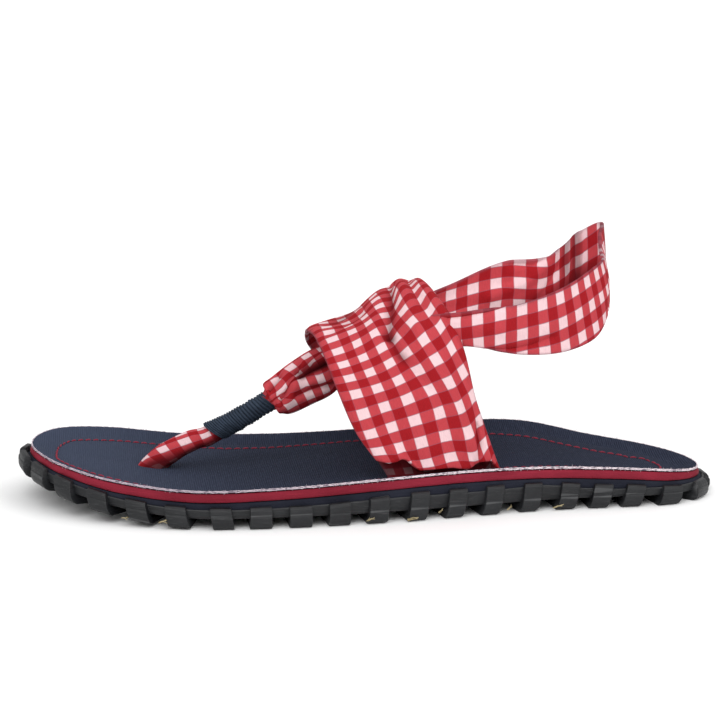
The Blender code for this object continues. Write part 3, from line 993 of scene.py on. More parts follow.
fray_thread = Recipe("white_fray", roughness=0.9)
fray_tone = fray_thread.noise(fray_thread.place, 700.0, detail=2.0)
fray_along = fray_thread.add("SeparateXYZ", {"Vector": fray_thread.place}).outputs["X"]
fray_light = fray_thread.stain((0.52, 0.44, 0.50), fray_along, -0.08, 0.04, (0.80, 0.70, 0.74))
fray_thread.colour(fray_thread.stain((0.26, 0.21, 0.26), fray_tone, 0.30, 0.54, fray_light))
fray_thread.bump(fray_tone, 0.00005)

# %% Sow the fray
FRAY_PER_MM = 6.5
FRAY_KINDS = 9
FRAY_IN = 0.12
random.seed(5)
fray_kinds = []
for _ in range(FRAY_KINDS):
    length, bend = random.uniform(0.5, 1.15), random.uniform(-0.5, 0.7)
    fray_kinds.append(bent_thread(length, bend, random.uniform(0.10, 0.17)))
fray_places = []
for _ in range(round(ROUND * FRAY_PER_MM)):
    turn = turn_at(random.uniform(0.0, ROUND))
    station, y, rim, _ = sole_point(turn, 0.0)
    across = outward(turn)
    out = Vector((across.x, across.y, 0.0))
    run = Vector((-across.y, across.x, 0.0))
    depth = random.uniform(-0.55, -0.05)
    start = place(station, y, rim + depth) - out * FRAY_IN * MM
    heading = out * random.uniform(0.15, 0.8) + run * random.uniform(-1.4, 1.4)
    heading.z = random.uniform(-0.75, 0.35)
    up = Vector([random.uniform(-1, 1) for _ in range(3)])
    kind = random.randrange(FRAY_KINDS)
    fray_places.append((kind, basis(heading, up, start, random.uniform(0.6, 1.15))))
fray = sow("insole_fray", fray_kinds, fray_places, fray_thread.material)


# %% Edge yarn
YARN_STEP = 0.7
YARN_OUT = 0.08
YARN_UNEVEN = 0.35


def edge_yarn(name, level, thick, wander, seed):
    """One wavy yarn all the way round the canvas's cut edge."""
    curve = bpy.data.curves.new(name, "CURVE")
    curve.dimensions = "3D"
    curve.bevel_depth = thick / 2 * MM
    curve.bevel_resolution = 1
    spline = curve.splines.new("POLY")
    count = round(ROUND / YARN_STEP)
    spline.points.add(count - 1)
    spline.use_cyclic_u = True
    for number, point in enumerate(spline.points):
        turn = turn_at(number * ROUND / count)
        station, y, rim, _ = sole_point(turn, 0.0)
        across = outward(turn)
        shake = noise.noise_vector(Vector((number * 0.55, seed, 0.0))) * wander
        push = YARN_OUT + abs(shake.x)
        here = place(station + across.x * push, y + across.y * push, rim + level + shake.z)
        point.co = (*here, 1.0)
        point.radius = 1.0 + YARN_UNEVEN * noise.noise(Vector((number * 0.4, seed, 3.0)))
    helper = bpy.data.objects.new(name, curve)
    bpy.context.scene.collection.objects.link(helper)
    depsgraph = bpy.context.evaluated_depsgraph_get()
    shape = bmesh.new()
    shape.from_mesh(bpy.data.meshes.new_from_object(helper.evaluated_get(depsgraph)))
    bpy.data.objects.remove(helper)
    piece_from(shape, name, fray_thread.material)


edge_yarn("insole_yarn_upper", -0.10, 0.30, 0.20, 1.0)
edge_yarn("insole_yarn_lower", -0.52, 0.38, 0.26, 9.0)

# %% [markdown]
# ## Cord scraps
#
# The plate is cut from tyre rubber with cord in it, so short ends of straw-coloured cord stick out
# at the feet of some lugs. Each scrap is a few of the same bent threads, laid close together on
# the lug's face or along its foot. The table says where along the outer side each one lies.

# %% Cord scraps
Scrap = namedtuple("Scrap", "station out up length steep")
SCRAPS = (
    Scrap(33.5, 2.2, 1.0, 3.2, 0.15),
    Scrap(46.5, 3.3, 2.0, 3.6, 0.35),
    Scrap(119.5, 3.35, 1.8, 3.4, 0.6),
    Scrap(134.5, 2.9, 1.0, 4.2, 0.12),
    Scrap(146.5, 2.0, 2.6, 1.8, 0.8),
    Scrap(172.5, 2.2, 1.4, 2.6, 0.9),
    Scrap(190.5, 2.9, 1.2, 4.6, 0.35),
)
SCRAP_CORDS = 4
SCRAP_THICK = 0.16
straw = Recipe("straw_cord", roughness=0.85)
straw.colour(straw.mix(straw.noise(straw.place, 900.0), (0.16, 0.12, 0.05), (0.56, 0.48, 0.30)))
chance = random.Random(23)
scrap_kinds = [bent_thread(1.0, bend, SCRAP_THICK) for bend in (-0.3, 0.1, 0.4)]
outer_turns = [number * 0.05 for number in range(10, 220)]
outer_stations = [edge(turn)[0] for turn in outer_turns]
scrap_places = []
for scrap in SCRAPS:
    turn = float(np.interp(scrap.station, outer_stations, outer_turns))
    near, across = edge(turn), outward(turn)
    push = scrap.out + flare(turn)
    start = place(near[0] + across.x * push, near[1] + across.y * push, scrap.up + spring(near[0]))
    for number in range(SCRAP_CORDS):
        heading = Vector((-across.y, across.x, scrap.steep + chance.uniform(-0.12, 0.12)))
        up = Vector((across.x, across.y, chance.uniform(-0.6, 0.6)))
        shift = Vector((chance.uniform(-0.5, 0.5), 0.0, chance.uniform(-0.25, 0.25))) * MM
        size = scrap.length * chance.uniform(0.6, 1.0)
        scrap_places.append((number % len(scrap_kinds), basis(heading, up, start + shift, size)))
scraps = sow("cord_scraps", scrap_kinds, scrap_places, straw.material)

# %% [markdown]
# ## Gingham
#
# Gingham is white cotton with red stripes of equal width both ways: one stripe is a mid red and
# two that cross make a deep red. The straps' pattern has to follow the cloth and not the room,
# so each strap carries its own map named cloth, where one unit is one check of 8.4 millimetres.
# A triangle wave of each map direction says where a stripe lies. The stripes' edges have a thin
# mauve line, where red and white yarns mix. The weave itself is a fine bump of both yarn
# directions. A second map named shade holds painted light. Its X is painted shade, deepest in the
# folds, and where X is below zero the cloth is given a faint glow, painted light that stands for
# light coming through the thin cloth. Its Y marks a thin line of painted shade along the strap's edges.

# %% Cloth finish
STRIPE_SHARE = 0.245
STRIPE_SOFT = 0.018
LINE_WIDTH = 0.032
YARNS_PER_CHECK = 18.0
cloth = Recipe("gingham_cotton", roughness=0.9, gloss=0.12)
cloth_map = cloth.add("UVMap", {}, uv_map="cloth").outputs["UV"]
cloth_waver = cloth.noise(cloth_map, 0.8, detail=3.0)
cloth_way = cloth.add("SeparateXYZ", {"Vector": cloth_map})


def stripe_field(direction):
    """0 in the white stripe and 1 in the red one, and the triangle wave that says so."""
    waver = cloth.math("MULTIPLY_ADD", cloth_waver, 0.05, -0.025)
    run = cloth.math("ADD", cloth_way.outputs[direction], waver)
    wave = cloth.math("PINGPONG", run, 0.5)
    return cloth.ramp(wave, STRIPE_SHARE - STRIPE_SOFT, STRIPE_SHARE + STRIPE_SOFT), wave


warp, warp_wave = stripe_field("X")
weft, weft_wave = stripe_field("Y")
cloth_both = cloth.math("MULTIPLY", warp, weft)
cloth_any = cloth.math("MAXIMUM", warp, weft)
cloth_tone = cloth.mix(cloth_any, (0.82, 0.57, 0.595), (0.50, 0.054, 0.066))
cloth_tone = cloth.mix(cloth_both, cloth_tone, (0.33, 0.010, 0.015))


def edge_line(wave):
    gap = cloth.math("ABSOLUTE", cloth.math("SUBTRACT", wave, STRIPE_SHARE))
    return cloth.ramp(gap, 0.0, LINE_WIDTH, 1.0, 0.0)


weft_line = edge_line(weft_wave)
cloth_line = cloth.math("MAXIMUM", weft_line, cloth.math("MULTIPLY", edge_line(warp_wave), 0.55))
cloth_line = cloth.math("MULTIPLY", cloth_line, cloth.ramp(cloth_both, 0.2, 0.8, 0.60, 0.25))
cloth_tone = cloth.mix(cloth_line, cloth_tone, (0.20, 0.10, 0.15))
cloth_painted_light = cloth.add("SeparateXYZ", {"Vector": cloth.add("UVMap", {}, uv_map="shade").outputs["UV"]})
# Painted shade: the cloth is darkened by the shade map's X, most of all deep in the folds.
cloth_fold_shade = cloth.math("MULTIPLY", cloth_painted_light.outputs["X"], 0.95)
cloth_tone = cloth.mix(cloth_fold_shade, cloth_tone, (0.080, 0.003, 0.006))
# Painted shade: a thin darker line along the strap's edges.
cloth_edge_shade = cloth.math("MULTIPLY", cloth_painted_light.outputs["Y"], 0.65)
cloth_tone = cloth.mix(cloth_edge_shade, cloth_tone, (0.16, 0.055, 0.075))

# %% Weave of the cloth
cloth_yarn_map = cloth.stretch(cloth_map, (YARNS_PER_CHECK, YARNS_PER_CHECK, 1.0))
cloth_yarns = cloth.add("SeparateXYZ", {"Vector": cloth_yarn_map})
yarn_warp = cloth.math("PINGPONG", cloth_yarns.outputs["X"], 0.5)
yarn_weft = cloth.math("PINGPONG", cloth_yarns.outputs["Y"], 0.5)
cloth_slub = cloth.noise(cloth.stretch(cloth_map, (30.0, 3.0, 1.0)), 1.0, detail=3.0)
yarn_gap = cloth.math("ABSOLUTE", cloth.math("SUBTRACT", yarn_warp, yarn_weft))
cloth_shade = cloth.math("MULTIPLY_ADD", yarn_gap, 0.5, 0.91)
cloth_shade = cloth.math("MULTIPLY", cloth_shade, cloth.ramp(cloth_slub, 0.25, 0.8, 0.93, 1.05))
cloth_shaded = cloth.add("VectorMath", {}, operation="SCALE")
cloth.put(cloth_shaded.inputs[0], cloth_tone)
cloth.put(cloth_shaded.inputs["Scale"], cloth_shade)
cloth.colour(cloth_shaded.outputs[0])
# Painted light: where the shade map's X is below zero the cloth glows a little through its emission.
cloth_painted_glow = cloth.math("MAXIMUM", cloth.math("MULTIPLY", cloth_painted_light.outputs["X"], -1.0), 0.0)
cloth.put(cloth.shader.inputs["Emission Color"], cloth_shaded.outputs[0])
cloth.put(cloth.shader.inputs["Emission Strength"], cloth_painted_glow)
cloth_height = cloth.math("ADD", cloth.math("ADD", yarn_warp, yarn_weft), cloth_slub)
cloth.bump(cloth_height, 0.00012)

# %% [markdown]
# ## Sheets of cloth with folds
#
# A strap could be draped by a cloth simulation, but the folds would then fall where they like.
# Here the straps keep given forms, so they are modelled. A strap is a grid of faces whose points
# a function puts in place: a share across, and a position in the strap's table. Folds are laid
# on top, one by one. Each fold is a short path over the strap in the same two measures, with a
# depth and a width in millimetres: a plus depth is a ridge and a minus depth a trough. A lap is
# a fold whose cloth stands up to a sharp line on the left of its path and drops away on the
# right, as where one pleat lies over the next.


# %% Folds
Fold = namedtuple("Fold", "depth width path")
Lap = namedtuple("Lap", "depth width path")
LAP_EDGE = 0.45
FOLD_REACH = 3.0
FOLD_MORE = 2.0


def nearest_on_path(path, here, scale):
    """The distance to a path in millimetres, and on which side of it the place lies."""
    best = (1e9, 1.0)
    for first, second in zip(path, path[1:]):
        a, b = scale @ Vector(first), scale @ Vector(second)
        run = b - a
        held = min(max((here - a).dot(run) / run.length_squared, 0.0), 1.0)
        away = here - (a + run * held)
        if away.length < best[0]:
            best = (away.length, run.x * away.y - run.y * away.x)
    return best


def fold_height(folds, position, across, scale):
    """The sum of the folds' heights at one place of a strap, in millimetres."""
    here = scale @ Vector((position, across))
    total = 0.0
    for fold in folds:
        distance, side = nearest_on_path(fold.path, here, scale)
        if distance > FOLD_REACH * fold.width + FOLD_MORE:
            continue
        if isinstance(fold, Lap):
            signed = distance if side > 0 else -distance
            rise = 0.5 + 0.5 * math.tanh(signed / LAP_EDGE)
            total += fold.depth * rise * hump(max(signed, 0.0), fold.width)
        else:
            total += fold.depth * hump(distance, fold.width)
    return total


def scaled(row_length, width):
    """A 2x2 matrix that turns table positions and shares into millimetres."""
    return Matrix(((row_length, 0.0), (0.0, width)))


# %% Cloth sheet
EDGE_LINE = 1.0
SHARE_STEP = 0.004


def checked_grid(columns, rows, checks_at):
    """A flat grid with the gingham's map, which is read from shares across and along."""
    shape = bmesh.new()
    bmesh.ops.create_grid(shape, x_segments=columns, y_segments=rows, size=0.5)
    shape.verts.index_update()
    checks = shape.loops.layers.uv.new("cloth")
    for face in shape.faces:
        for loop in face.loops:
            loop[checks].uv = checks_at(loop.vert.co.x + 0.5, loop.vert.co.y + 0.5)
    return shape


def shade_cloth(shape, shades):
    """Writes the shade map: the painted shade or painted glow at each point, and how near the edge it is.
    """
    layer = shape.loops.layers.uv.new("shade")
    for face in shape.faces:
        for loop in face.loops:
            loop[layer].uv = shades[loop.vert.index]


def cloth_sheet(name, columns, rows, point_at, checks_at, height_at, shade_at, wall):
    """A strap with a real wall. Points and checks are read from shares across and along."""
    shape = checked_grid(columns, rows, checks_at)
    step = SHARE_STEP
    shades = []
    for vert in shape.verts:
        s, t = vert.co.x + 0.5, vert.co.y + 0.5
        across = point_at(s + step, t) - point_at(s - step, t)
        along = point_at(s, t + step) - point_at(s, t - step)
        height = height_at(s, t)
        width_here = across.length / (2.0 * step * MM)
        edge_gap = min(s, 1.0 - s) * width_here
        shades.append((shade_at(s, t, height), max(0.0, 1.0 - edge_gap / EDGE_LINE)))
        vert.co = point_at(s, t) + across.cross(along).normalized() * height * MM
    shade_cloth(shape, shades)
    return wall_of_cloth(piece_from(shape, name, cloth.material), wall)


def wall_of_cloth(piece, wall):
    """Gives a sheet its thickness and rounds it."""
    thick = piece.modifiers.new("wall", "SOLIDIFY")
    thick.thickness = wall * MM
    thick.offset = 0.0
    rounding = piece.modifiers.new("rounding", "SUBSURF")
    rounding.levels = 1
    rounding.render_levels = 1
    return piece


# %% [markdown]
# ## Instep band
#
# The band is the widest cloth of the sandal. It comes up out of a slot on the outer side, wraps
# the instep, gathers at the crown and goes down on the inner side. One table has the places of
# its front and rear edge every couple of centimetres. A second table, with the same rows, says
# which check of the gingham lies there at five places across. Cloth is cut first and folded
# after, so where a pleat takes cloth in, the checks run on beneath it and the rows bend.

# %% Band tables
BandRow = namedtuple("BandRow", "front_station front_y front_z rear_station rear_y rear_z crest")
BAND_ROWS = (
    BandRow(130.2, -35.6, 12.2, 171.5, -27.8, 12.2, 0.0),
    BandRow(126.6, -34.8, 18.0, 170.0, -29.0, 18.0, 0.0),
    BandRow(116.9, -34.0, 32.0, 165.0, -31.0, 32.0, 0.0),
    BandRow(110.5, -32.0, 47.0, 161.0, -31.5, 44.0, 0.0),
    BandRow(106.4, -27.0, 58.0, 157.2, -29.5, 60.0, 1.0),
    BandRow(104.0, -16.0, 63.5, 153.0, -21.0, 70.5, 3.0),
    BandRow(102.5, -1.0, 63.5, 149.0, -8.0, 76.0, 5.5),
    BandRow(102.5, 12.0, 60.5, 147.5, 6.0, 77.5, 5.0),
    BandRow(104.0, 21.5, 54.5, 150.5, 18.0, 74.0, 2.5),
    BandRow(110.0, 28.0, 45.5, 156.0, 27.0, 64.0, 0.5),
    BandRow(117.5, 31.0, 33.0, 162.0, 29.8, 46.0, 0.0),
    BandRow(125.0, 31.6, 20.5, 167.0, 28.6, 26.0, 0.0),
    BandRow(128.5, 31.2, 13.2, 169.5, 27.2, 16.6, 0.0),
)
CREST_AT = 0.68
CREST_SPREAD = 0.3
BAND_LAST = len(BAND_ROWS) - 1

CHECK_SHARES = (0.0, 0.333, 0.667, 0.86, 1.0)
CheckRow = namedtuple("CheckRow", "columns lines")
BAND_CHECKS = (
    CheckRow((0.87, 2.72, 4.20, 5.10, 6.75), (-3.0, -3.1, -3.2, -3.4, -4.4)),
    CheckRow((0.82, 2.69, 4.25, 5.35, 6.70), (-1.25, -1.2, -1.55, -1.5, -2.4)),
    CheckRow((0.55, 2.27, 3.92, 5.0, 6.35), (1.25, 0.75, 0.30, 0.1, -0.4)),
    CheckRow((0.45, 2.20, 3.85, 5.0, 6.15), (3.35, 2.70, 1.85, 1.45, 0.95)),
    CheckRow((0.50, 2.43, 4.47, 5.60, 6.65), (5.85, 4.97, 3.80, 3.15, 2.60)),
    CheckRow((0.50, 2.45, 4.93, 5.93, 6.75), (7.85, 7.1, 5.80, 4.85, 4.15)),
    CheckRow((0.30, 2.45, 4.83, 5.95, 6.80), (10.1, 10.2, 8.50, 6.85, 5.90)),
    CheckRow((0.15, 2.35, 4.70, 5.80, 6.75), (12.0, 12.2, 11.0, 9.6, 8.6)),
    CheckRow((0.20, 2.30, 4.50, 5.70, 6.70), (13.6, 13.6, 12.5, 11.4, 10.4)),
    CheckRow((0.30, 2.30, 4.40, 5.50, 6.40), (15.0, 14.6, 13.7, 13.0, 12.4)),
    CheckRow((0.50, 2.40, 4.30, 5.35, 6.20), (16.8, 16.2, 15.5, 15.1, 14.8)),
    CheckRow((0.80, 2.50, 4.30, 5.25, 6.00), (18.8, 18.3, 17.9, 17.6, 17.4)),
    CheckRow((0.90, 2.60, 4.30, 5.20, 5.90), (19.8, 19.4, 19.0, 18.8, 18.6)),
)
HEM = (
    (0.0, 1.28), (0.08, 1.18), (0.16, 1.22), (0.21, 1.30), (0.25, 1.26), (0.275, 1.05),
    (0.30, 0.86), (0.45, 0.90), (0.60, 0.93), (0.72, 0.83), (0.79, 0.96), (0.86, 1.08),
    (0.955, 1.12), (0.975, 0.75), (1.0, 0.60),
)


def hem(s):
    """Where the cloth's lower edge lies: it is pulled up in an arch near its front corner."""
    return read_pairs(HEM, s)


def band_position(s, t):
    return between(hem(s), BAND_LAST, t)


def band_at(s, position):
    """A point of the band, from its two edges and its arched middle."""
    row = read_table(BAND_ROWS, position)
    rise = row.crest * hump(s - CREST_AT, CREST_SPREAD)
    return place(
        between(row.front_station, row.rear_station, s),
        between(row.front_y, row.rear_y, s),
        between(row.front_z, row.rear_z, s) + rise,
    )


def chart_at(rows, s, position):
    """Column and row of the gingham, from five places across the strap."""
    index = min(int(position), len(rows) - 2)
    near = [rows[min(max(index + step, 0), len(rows) - 1)] for step in (-1, 0, 1, 2)]
    last = len(CHECK_SHARES) - 1
    place_in = float(np.interp(s, CHECK_SHARES, range(last + 1)))
    first = min(int(place_in), last - 1)
    here = []
    for measure in range(2):
        across = through(*[row[measure] for row in near], position - index)
        around = [across[min(max(first + step, 0), last)] for step in (-1, 0, 1, 2)]
        here.append(through(*[[value] for value in around], place_in - first)[0])
    return here


# %% Band folds
BAND_FOLDS = (
    Fold(-2.6, 2.3, ((6.9, 0.73), (6.33, 0.69), (5.65, 0.63), (5.23, 0.58), (4.8, 0.53), (4.5, 0.50))),
    Fold(-1.8, 2.4, ((4.5, 0.50), (4.12, 0.51), (3.85, 0.54))),
    Fold(-0.9, 2.2, ((3.85, 0.54), (3.55, 0.59), (3.38, 0.63))),
    Fold(2.2, 3.0, ((7.3, 0.80), (6.88, 0.77), (6.0, 0.75), (5.4, 0.73), (4.9, 0.71), (4.5, 0.70))),
    Fold(1.0, 4.0, ((4.5, 0.70), (4.0, 0.70), (3.5, 0.74))),
    Fold(-1.0, 1.8, ((7.0, 0.87), (6.65, 0.84), (5.88, 0.82), (5.3, 0.82))),
    Fold(1.6, 2.6, ((7.4, 0.94), (6.45, 0.93), (5.7, 0.93), (5.0, 0.94))),
    Fold(0.6, 3.2, ((5.88, 0.52), (5.35, 0.49), (4.88, 0.44), (4.3, 0.42))),
    Fold(-0.9, 1.5, ((4.75, -0.03), (4.85, 0.04), (5.12, 0.16), (5.28, 0.23), (5.48, 0.32), (5.7, 0.42))),
    Fold(0.7, 1.6, ((5.55, 0.03), (5.68, 0.10), (5.70, 0.20), (5.80, 0.29), (5.95, 0.40))),
    Lap(1.5, 7.0, (
        (4.5, 0.985), (4.23, 0.975), (3.62, 0.965), (3.25, 0.955),
        (2.75, 0.945), (2.1, 0.915), (1.78, 0.89),
    )),
    Fold(-1.3, 1.4, ((2.1, 0.935), (1.78, 0.91), (1.50, 0.89), (1.23, 0.85), (0.95, 0.80))),
    Fold(0.6, 2.4, ((1.7, 0.80), (1.35, 0.72), (0.95, 0.66))),
    Fold(0.9, 1.9, ((1.6, 0.20), (1.3, 0.21), (1.1, 0.22))),
    Fold(-0.5, 2.0, ((1.7, 0.33), (1.2, 0.31), (0.8, 0.31))),
    Fold(0.5, 4.0, ((1.0, 0.45), (1.8, 0.50), (2.8, 0.60))),
    Fold(0.4, 4.0, ((1.6, 0.10), (2.6, 0.16), (3.6, 0.22))),
    Fold(-1.9, 6.0, ((5.9, 0.22), (6.6, 0.36), (7.6, 0.48))),
)
BAND_SCALE = scaled(14.5, 44.0)
BAND_WALL = 1.3
RIPPLE = 0.25
EDGE_ROLL = 0.9
HEM_LIFT = 0.9
BAND_OUT = 0.3
TROUGH_DARK = 0.75
TROUGH_DEPTH = 3.2


def band_height(s, t):
    """The folds, a soft ripple, edges that roll in, and a hem that stands off on the outer side."""
    position = band_position(s, t)
    ripple = RIPPLE * noise.noise(Vector((position * 0.9, s * 4.0, 2.0)))
    rolled = -EDGE_ROLL * hump(s, 0.035) - EDGE_ROLL * hump(1.0 - s, 0.03)
    lifted = HEM_LIFT * hump(position - hem(s), 0.25) * soft_step(3.0 - position)
    return BAND_OUT + fold_height(BAND_FOLDS, position, s, BAND_SCALE) + ripple + rolled + lifted


def band_shade(s, t, height):
    """The deeper in a trough, the darker."""
    return TROUGH_DARK * soft_step((0.1 - height) / TROUGH_DEPTH)


band = cloth_sheet(
    "instep_band", 76, 150,
    lambda s, t: band_at(s, band_position(s, t)),
    lambda s, t: chart_at(BAND_CHECKS, s, band_position(s, t)),
    band_height, band_shade, BAND_WALL,
)
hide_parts("upper")

# %% [markdown]
# ## Base of the band
#
# Behind the hem on the outer side a second layer of the cloth goes down into the slot. It lies
# two millimetres further in, and the hem stands off it. Its colour is darkened all over with painted shade.

# %% Base
BASE_TOP = 2.3
BASE_IN = 2.4
BASE_BEHIND = 0.6
BASE_FRONT = 0.02
BASE_REAR = 0.985
BASE_CHECKS_FROM = 0.4
# How much painted shade darkens the whole base.
BASE_PAINTED_SHADE = 0.94
BASE_WALL = 0.9


def base_height(s, t):
    """Pressed further in, the nearer to the slot."""
    return -BASE_IN * soft_step((1.0 - t) / 0.5) - BASE_BEHIND


def base_point(s, t):
    return band_at(between(BASE_FRONT, BASE_REAR, s), between(0.0, BASE_TOP, t))


def base_checks(s, t):
    share = between(BASE_FRONT, BASE_REAR, s)
    return chart_at(BAND_CHECKS, share, between(BASE_CHECKS_FROM, BASE_TOP, t))


base = cloth_sheet(
    "band_base", 30, 24, base_point, base_checks, base_height, lambda s, t, height: BASE_PAINTED_SHADE, BASE_WALL
)

# %% [markdown]
# ## Heel sling
#
# The sling is one long strap: it leaves the crown on both sides, runs back round the ankle and
# rises behind the heel. It is made like the band, with rows along its length. Round the heel
# its lower edge stands further out than its upper edge, which the table calls lean. Above the
# inner ankle the cloth bunches in pleats that lie over each other.

# %% Sling table
SlingRow = namedtuple("SlingRow", "station y low high lean run_low run_high check_low check_high")
SLING_ROWS = (
    SlingRow(110.0, -2.0, 44.0, 56.0, 0.0, -7.5, -7.5, 1.0, -0.4),
    SlingRow(127.0, -10.0, 52.0, 65.0, 0.0, -5.0, -5.0, 1.1, -0.4),
    SlingRow(143.0, -20.0, 58.5, 71.5, 0.0, -2.65, -2.65, 1.1, -0.4),
    SlingRow(158.5, -27.5, 61.5, 74.5, 0.0, -0.55, -0.43, 1.1, -0.4),
    SlingRow(176.0, -31.5, 59.0, 77.3, 0.0, 1.75, 1.75, 1.84, -0.25),
    SlingRow(192.0, -32.5, 59.5, 83.4, 0.0, 3.70, 4.15, 2.22, -0.36),
    SlingRow(204.0, -31.0, 64.0, 90.5, 0.5, 5.70, 6.85, 2.45, -0.34),
    SlingRow(208.8, -25.5, 71.0, 93.2, 1.5, 7.5, 9.2, 2.20, -0.2),
    SlingRow(210.6, -11.0, 75.5, 94.0, 3.0, 9.6, 11.1, 1.70, -0.2),
    SlingRow(213.6, 6.0, 78.0, 96.8, 1.5, 11.9, 12.9, 1.40, -0.55),
    SlingRow(217.0, 21.0, 75.0, 99.5, 0.0, 14.9, 15.0, 1.44, -1.0),
    SlingRow(209.5, 31.0, 67.0, 93.6, 0.0, 16.35, 16.35, 1.68, -1.25),
    SlingRow(198.0, 33.0, 61.0, 84.3, 0.0, 18.8, 18.8, 1.60, -1.20),
    SlingRow(180.0, 32.0, 59.5, 82.5, 0.0, 20.8, 20.8, 1.72, -0.90),
    SlingRow(160.0, 27.5, 61.0, 75.0, 0.0, 23.0, 23.0, 1.10, -0.45),
    SlingRow(144.0, 20.0, 59.0, 70.5, 0.0, 25.0, 25.0, 0.9, -0.4),
    SlingRow(128.0, 10.0, 53.0, 66.0, 0.0, 27.2, 27.2, 1.1, -0.4),
    SlingRow(111.0, 4.0, 45.0, 57.0, 0.0, 29.5, 29.5, 1.0, -0.4),
)
SLING_LAST = len(SLING_ROWS) - 1
SLING_WALL = 1.4


def sling_point(s, t):
    row = read_table(SLING_ROWS, t * SLING_LAST)
    return place(row.station + row.lean * (1.0 - s), row.y, between(row.low, row.high, s))


def sling_checks(s, t):
    """Columns along the sling and rows across it."""
    row = read_table(SLING_ROWS, t * SLING_LAST)
    return (between(row.run_low, row.run_high, s), between(row.check_low, row.check_high, s))


# %% Sling folds
SLING_FOLDS = (
    Fold(-1.4, 1.1, ((2.0, 0.84), (2.9, 0.86), (3.3, 0.91), (3.8, 1.0))),
    Fold(-1.3, 1.2, ((3.5, 0.05), (3.9, 0.12), (4.3, 0.20), (4.8, 0.30))),
    Fold(0.6, 3.0, ((3.4, 0.5), (4.4, 0.55), (5.6, 0.60))),
    Fold(-1.5, 1.3, ((7.2, 0.1), (7.25, 0.5), (7.2, 0.95))),
    Fold(0.3, 2.6, ((7.8, 0.0), (7.8, 0.7))),
    Lap(-3.0, 6.0, ((10.84, 1.1), (10.86, 0.55), (10.95, 0.2))),
    Fold(-1.0, 1.6, ((11.35, 1.1), (11.30, 0.75), (11.4, 0.5))),
    Fold(1.1, 1.3, ((11.65, 1.1), (11.6, 0.8), (11.9, 0.55), (12.2, 0.3))),
    Fold(-1.2, 2.0, ((11.9, 1.1), (12.0, 0.85), (12.5, 0.6), (13.2, 0.45))),
    Fold(1.1, 1.2, ((12.0, 0.98), (12.3, 0.90), (12.8, 0.93))),
    Fold(0.9, 2.2, ((11.4, 0.15), (12.4, 0.22), (13.4, 0.15))),
    Fold(-0.5, 3.0, ((13.2, 0.55), (14.2, 0.5))),
)
SLING_SCALE = scaled(16.0, 21.0)
SLING_CROWN = 1.4


def sling_height(s, t):
    """Height towards the outside of the sling; the grid's own normal points to the ankle."""
    position = t * SLING_LAST
    ripple = RIPPLE * noise.noise(Vector((position * 1.1, s * 2.0, 7.0)))
    crown = SLING_CROWN * (hump(s - 0.5, 0.5) - 0.6)
    return -(fold_height(SLING_FOLDS, position, s, SLING_SCALE) + ripple + crown)


PAINTED_GLOW = 0.25
DARK_ENOUGH = 0.25


def sling_shade(s, t, height):
    """Painted shade on the pleats' undersides by the inner ankle, and on the strap where it
    turns round behind the heel. Elsewhere on that side a single layer of thin cotton hangs free,
    and a painted glow there stands for light coming through it."""
    position = t * SLING_LAST
    pocket = hump(position - 11.2, 1.1) * soft_step((0.55 - s) / 0.35)
    tuck = hump(position - 10.95, 0.10) * soft_step((s - 0.15) / 0.3)
    crease = hump(position - 11.35, 0.12) * soft_step((s - 0.4) / 0.2)
    turned = 0.7 * hump(position - 9.65, 0.2) * soft_step(s / 0.3)
    dark = min(1.0, 0.9 * pocket + 0.6 * tuck + 0.45 * crease + turned)
    # Painted glow: a value below zero makes the cloth glow a little.
    through = PAINTED_GLOW * soft_step((position - 9.7) / 0.4) * soft_step((14.6 - position) / 0.8)
    return dark if dark > DARK_ENOUGH else dark - through * (1.0 - dark / DARK_ENOUGH)


sling = cloth_sheet(
    "heel_sling", 34, 260, sling_point, sling_checks, sling_height, sling_shade, SLING_WALL
)

# %% [markdown]
# ## Toe strap
#
# Between the first two toes the cloth is rolled into a soft tube. It comes up out of the
# insole, is bound with thread, and above the binding it puffs out again towards the band. The
# table gives the tube's middle, its tilt and its half sizes. One function gives a ring of it,
# and each tube is a grid rolled round those rings.

# %% Toe strap table
ToeRow = namedtuple("ToeRow", "station y z pitch half_height half_width under")
TOE_ROWS = (
    ToeRow(44.6, 0.0, 10.0, 4.0, 6.6, 3.2, 0.40),
    ToeRow(47.8, 0.3, 13.2, 28.0, 6.4, 3.9, 0.36),
    ToeRow(53.5, 0.7, 17.6, 50.0, 5.3, 4.1, 0.42),
    ToeRow(60.5, 1.1, 21.4, 58.0, 4.4, 3.8, 0.58),
    ToeRow(65.5, 1.4, 23.8, 61.0, 3.0, 3.0, 1.15),
    ToeRow(76.0, 1.9, 29.3, 61.0, 2.9, 2.9, 1.0),
    ToeRow(88.2, 2.4, 36.1, 60.0, 3.0, 3.0, 1.0),
    ToeRow(89.6, 2.5, 37.2, 60.0, 4.9, 4.7, 0.95),
    ToeRow(93.0, 2.6, 38.2, 62.0, 6.3, 5.6, 1.0),
    ToeRow(100.5, 2.6, 42.1, 64.0, 8.0, 6.3, 0.88),
    ToeRow(108.0, 2.2, 46.7, 68.0, 8.0, 6.4, 0.95),
    ToeRow(115.0, 1.5, 51.4, 70.0, 6.0, 5.6, 1.0),
)


def toe_frame(position):
    """The strap's row, its middle and its way up across the tilt."""
    row = read_table(TOE_ROWS, position)
    pitch = math.radians(row.pitch)
    return row, place(row.station, row.y, row.z), Vector((-math.cos(pitch), 0.0, math.sin(pitch)))


def round_noise(angle, size, along):
    """A noise that closes on itself round a tube."""
    around = math.radians(angle)
    return noise.noise(Vector((math.cos(around) * size, math.sin(around) * size, along)))


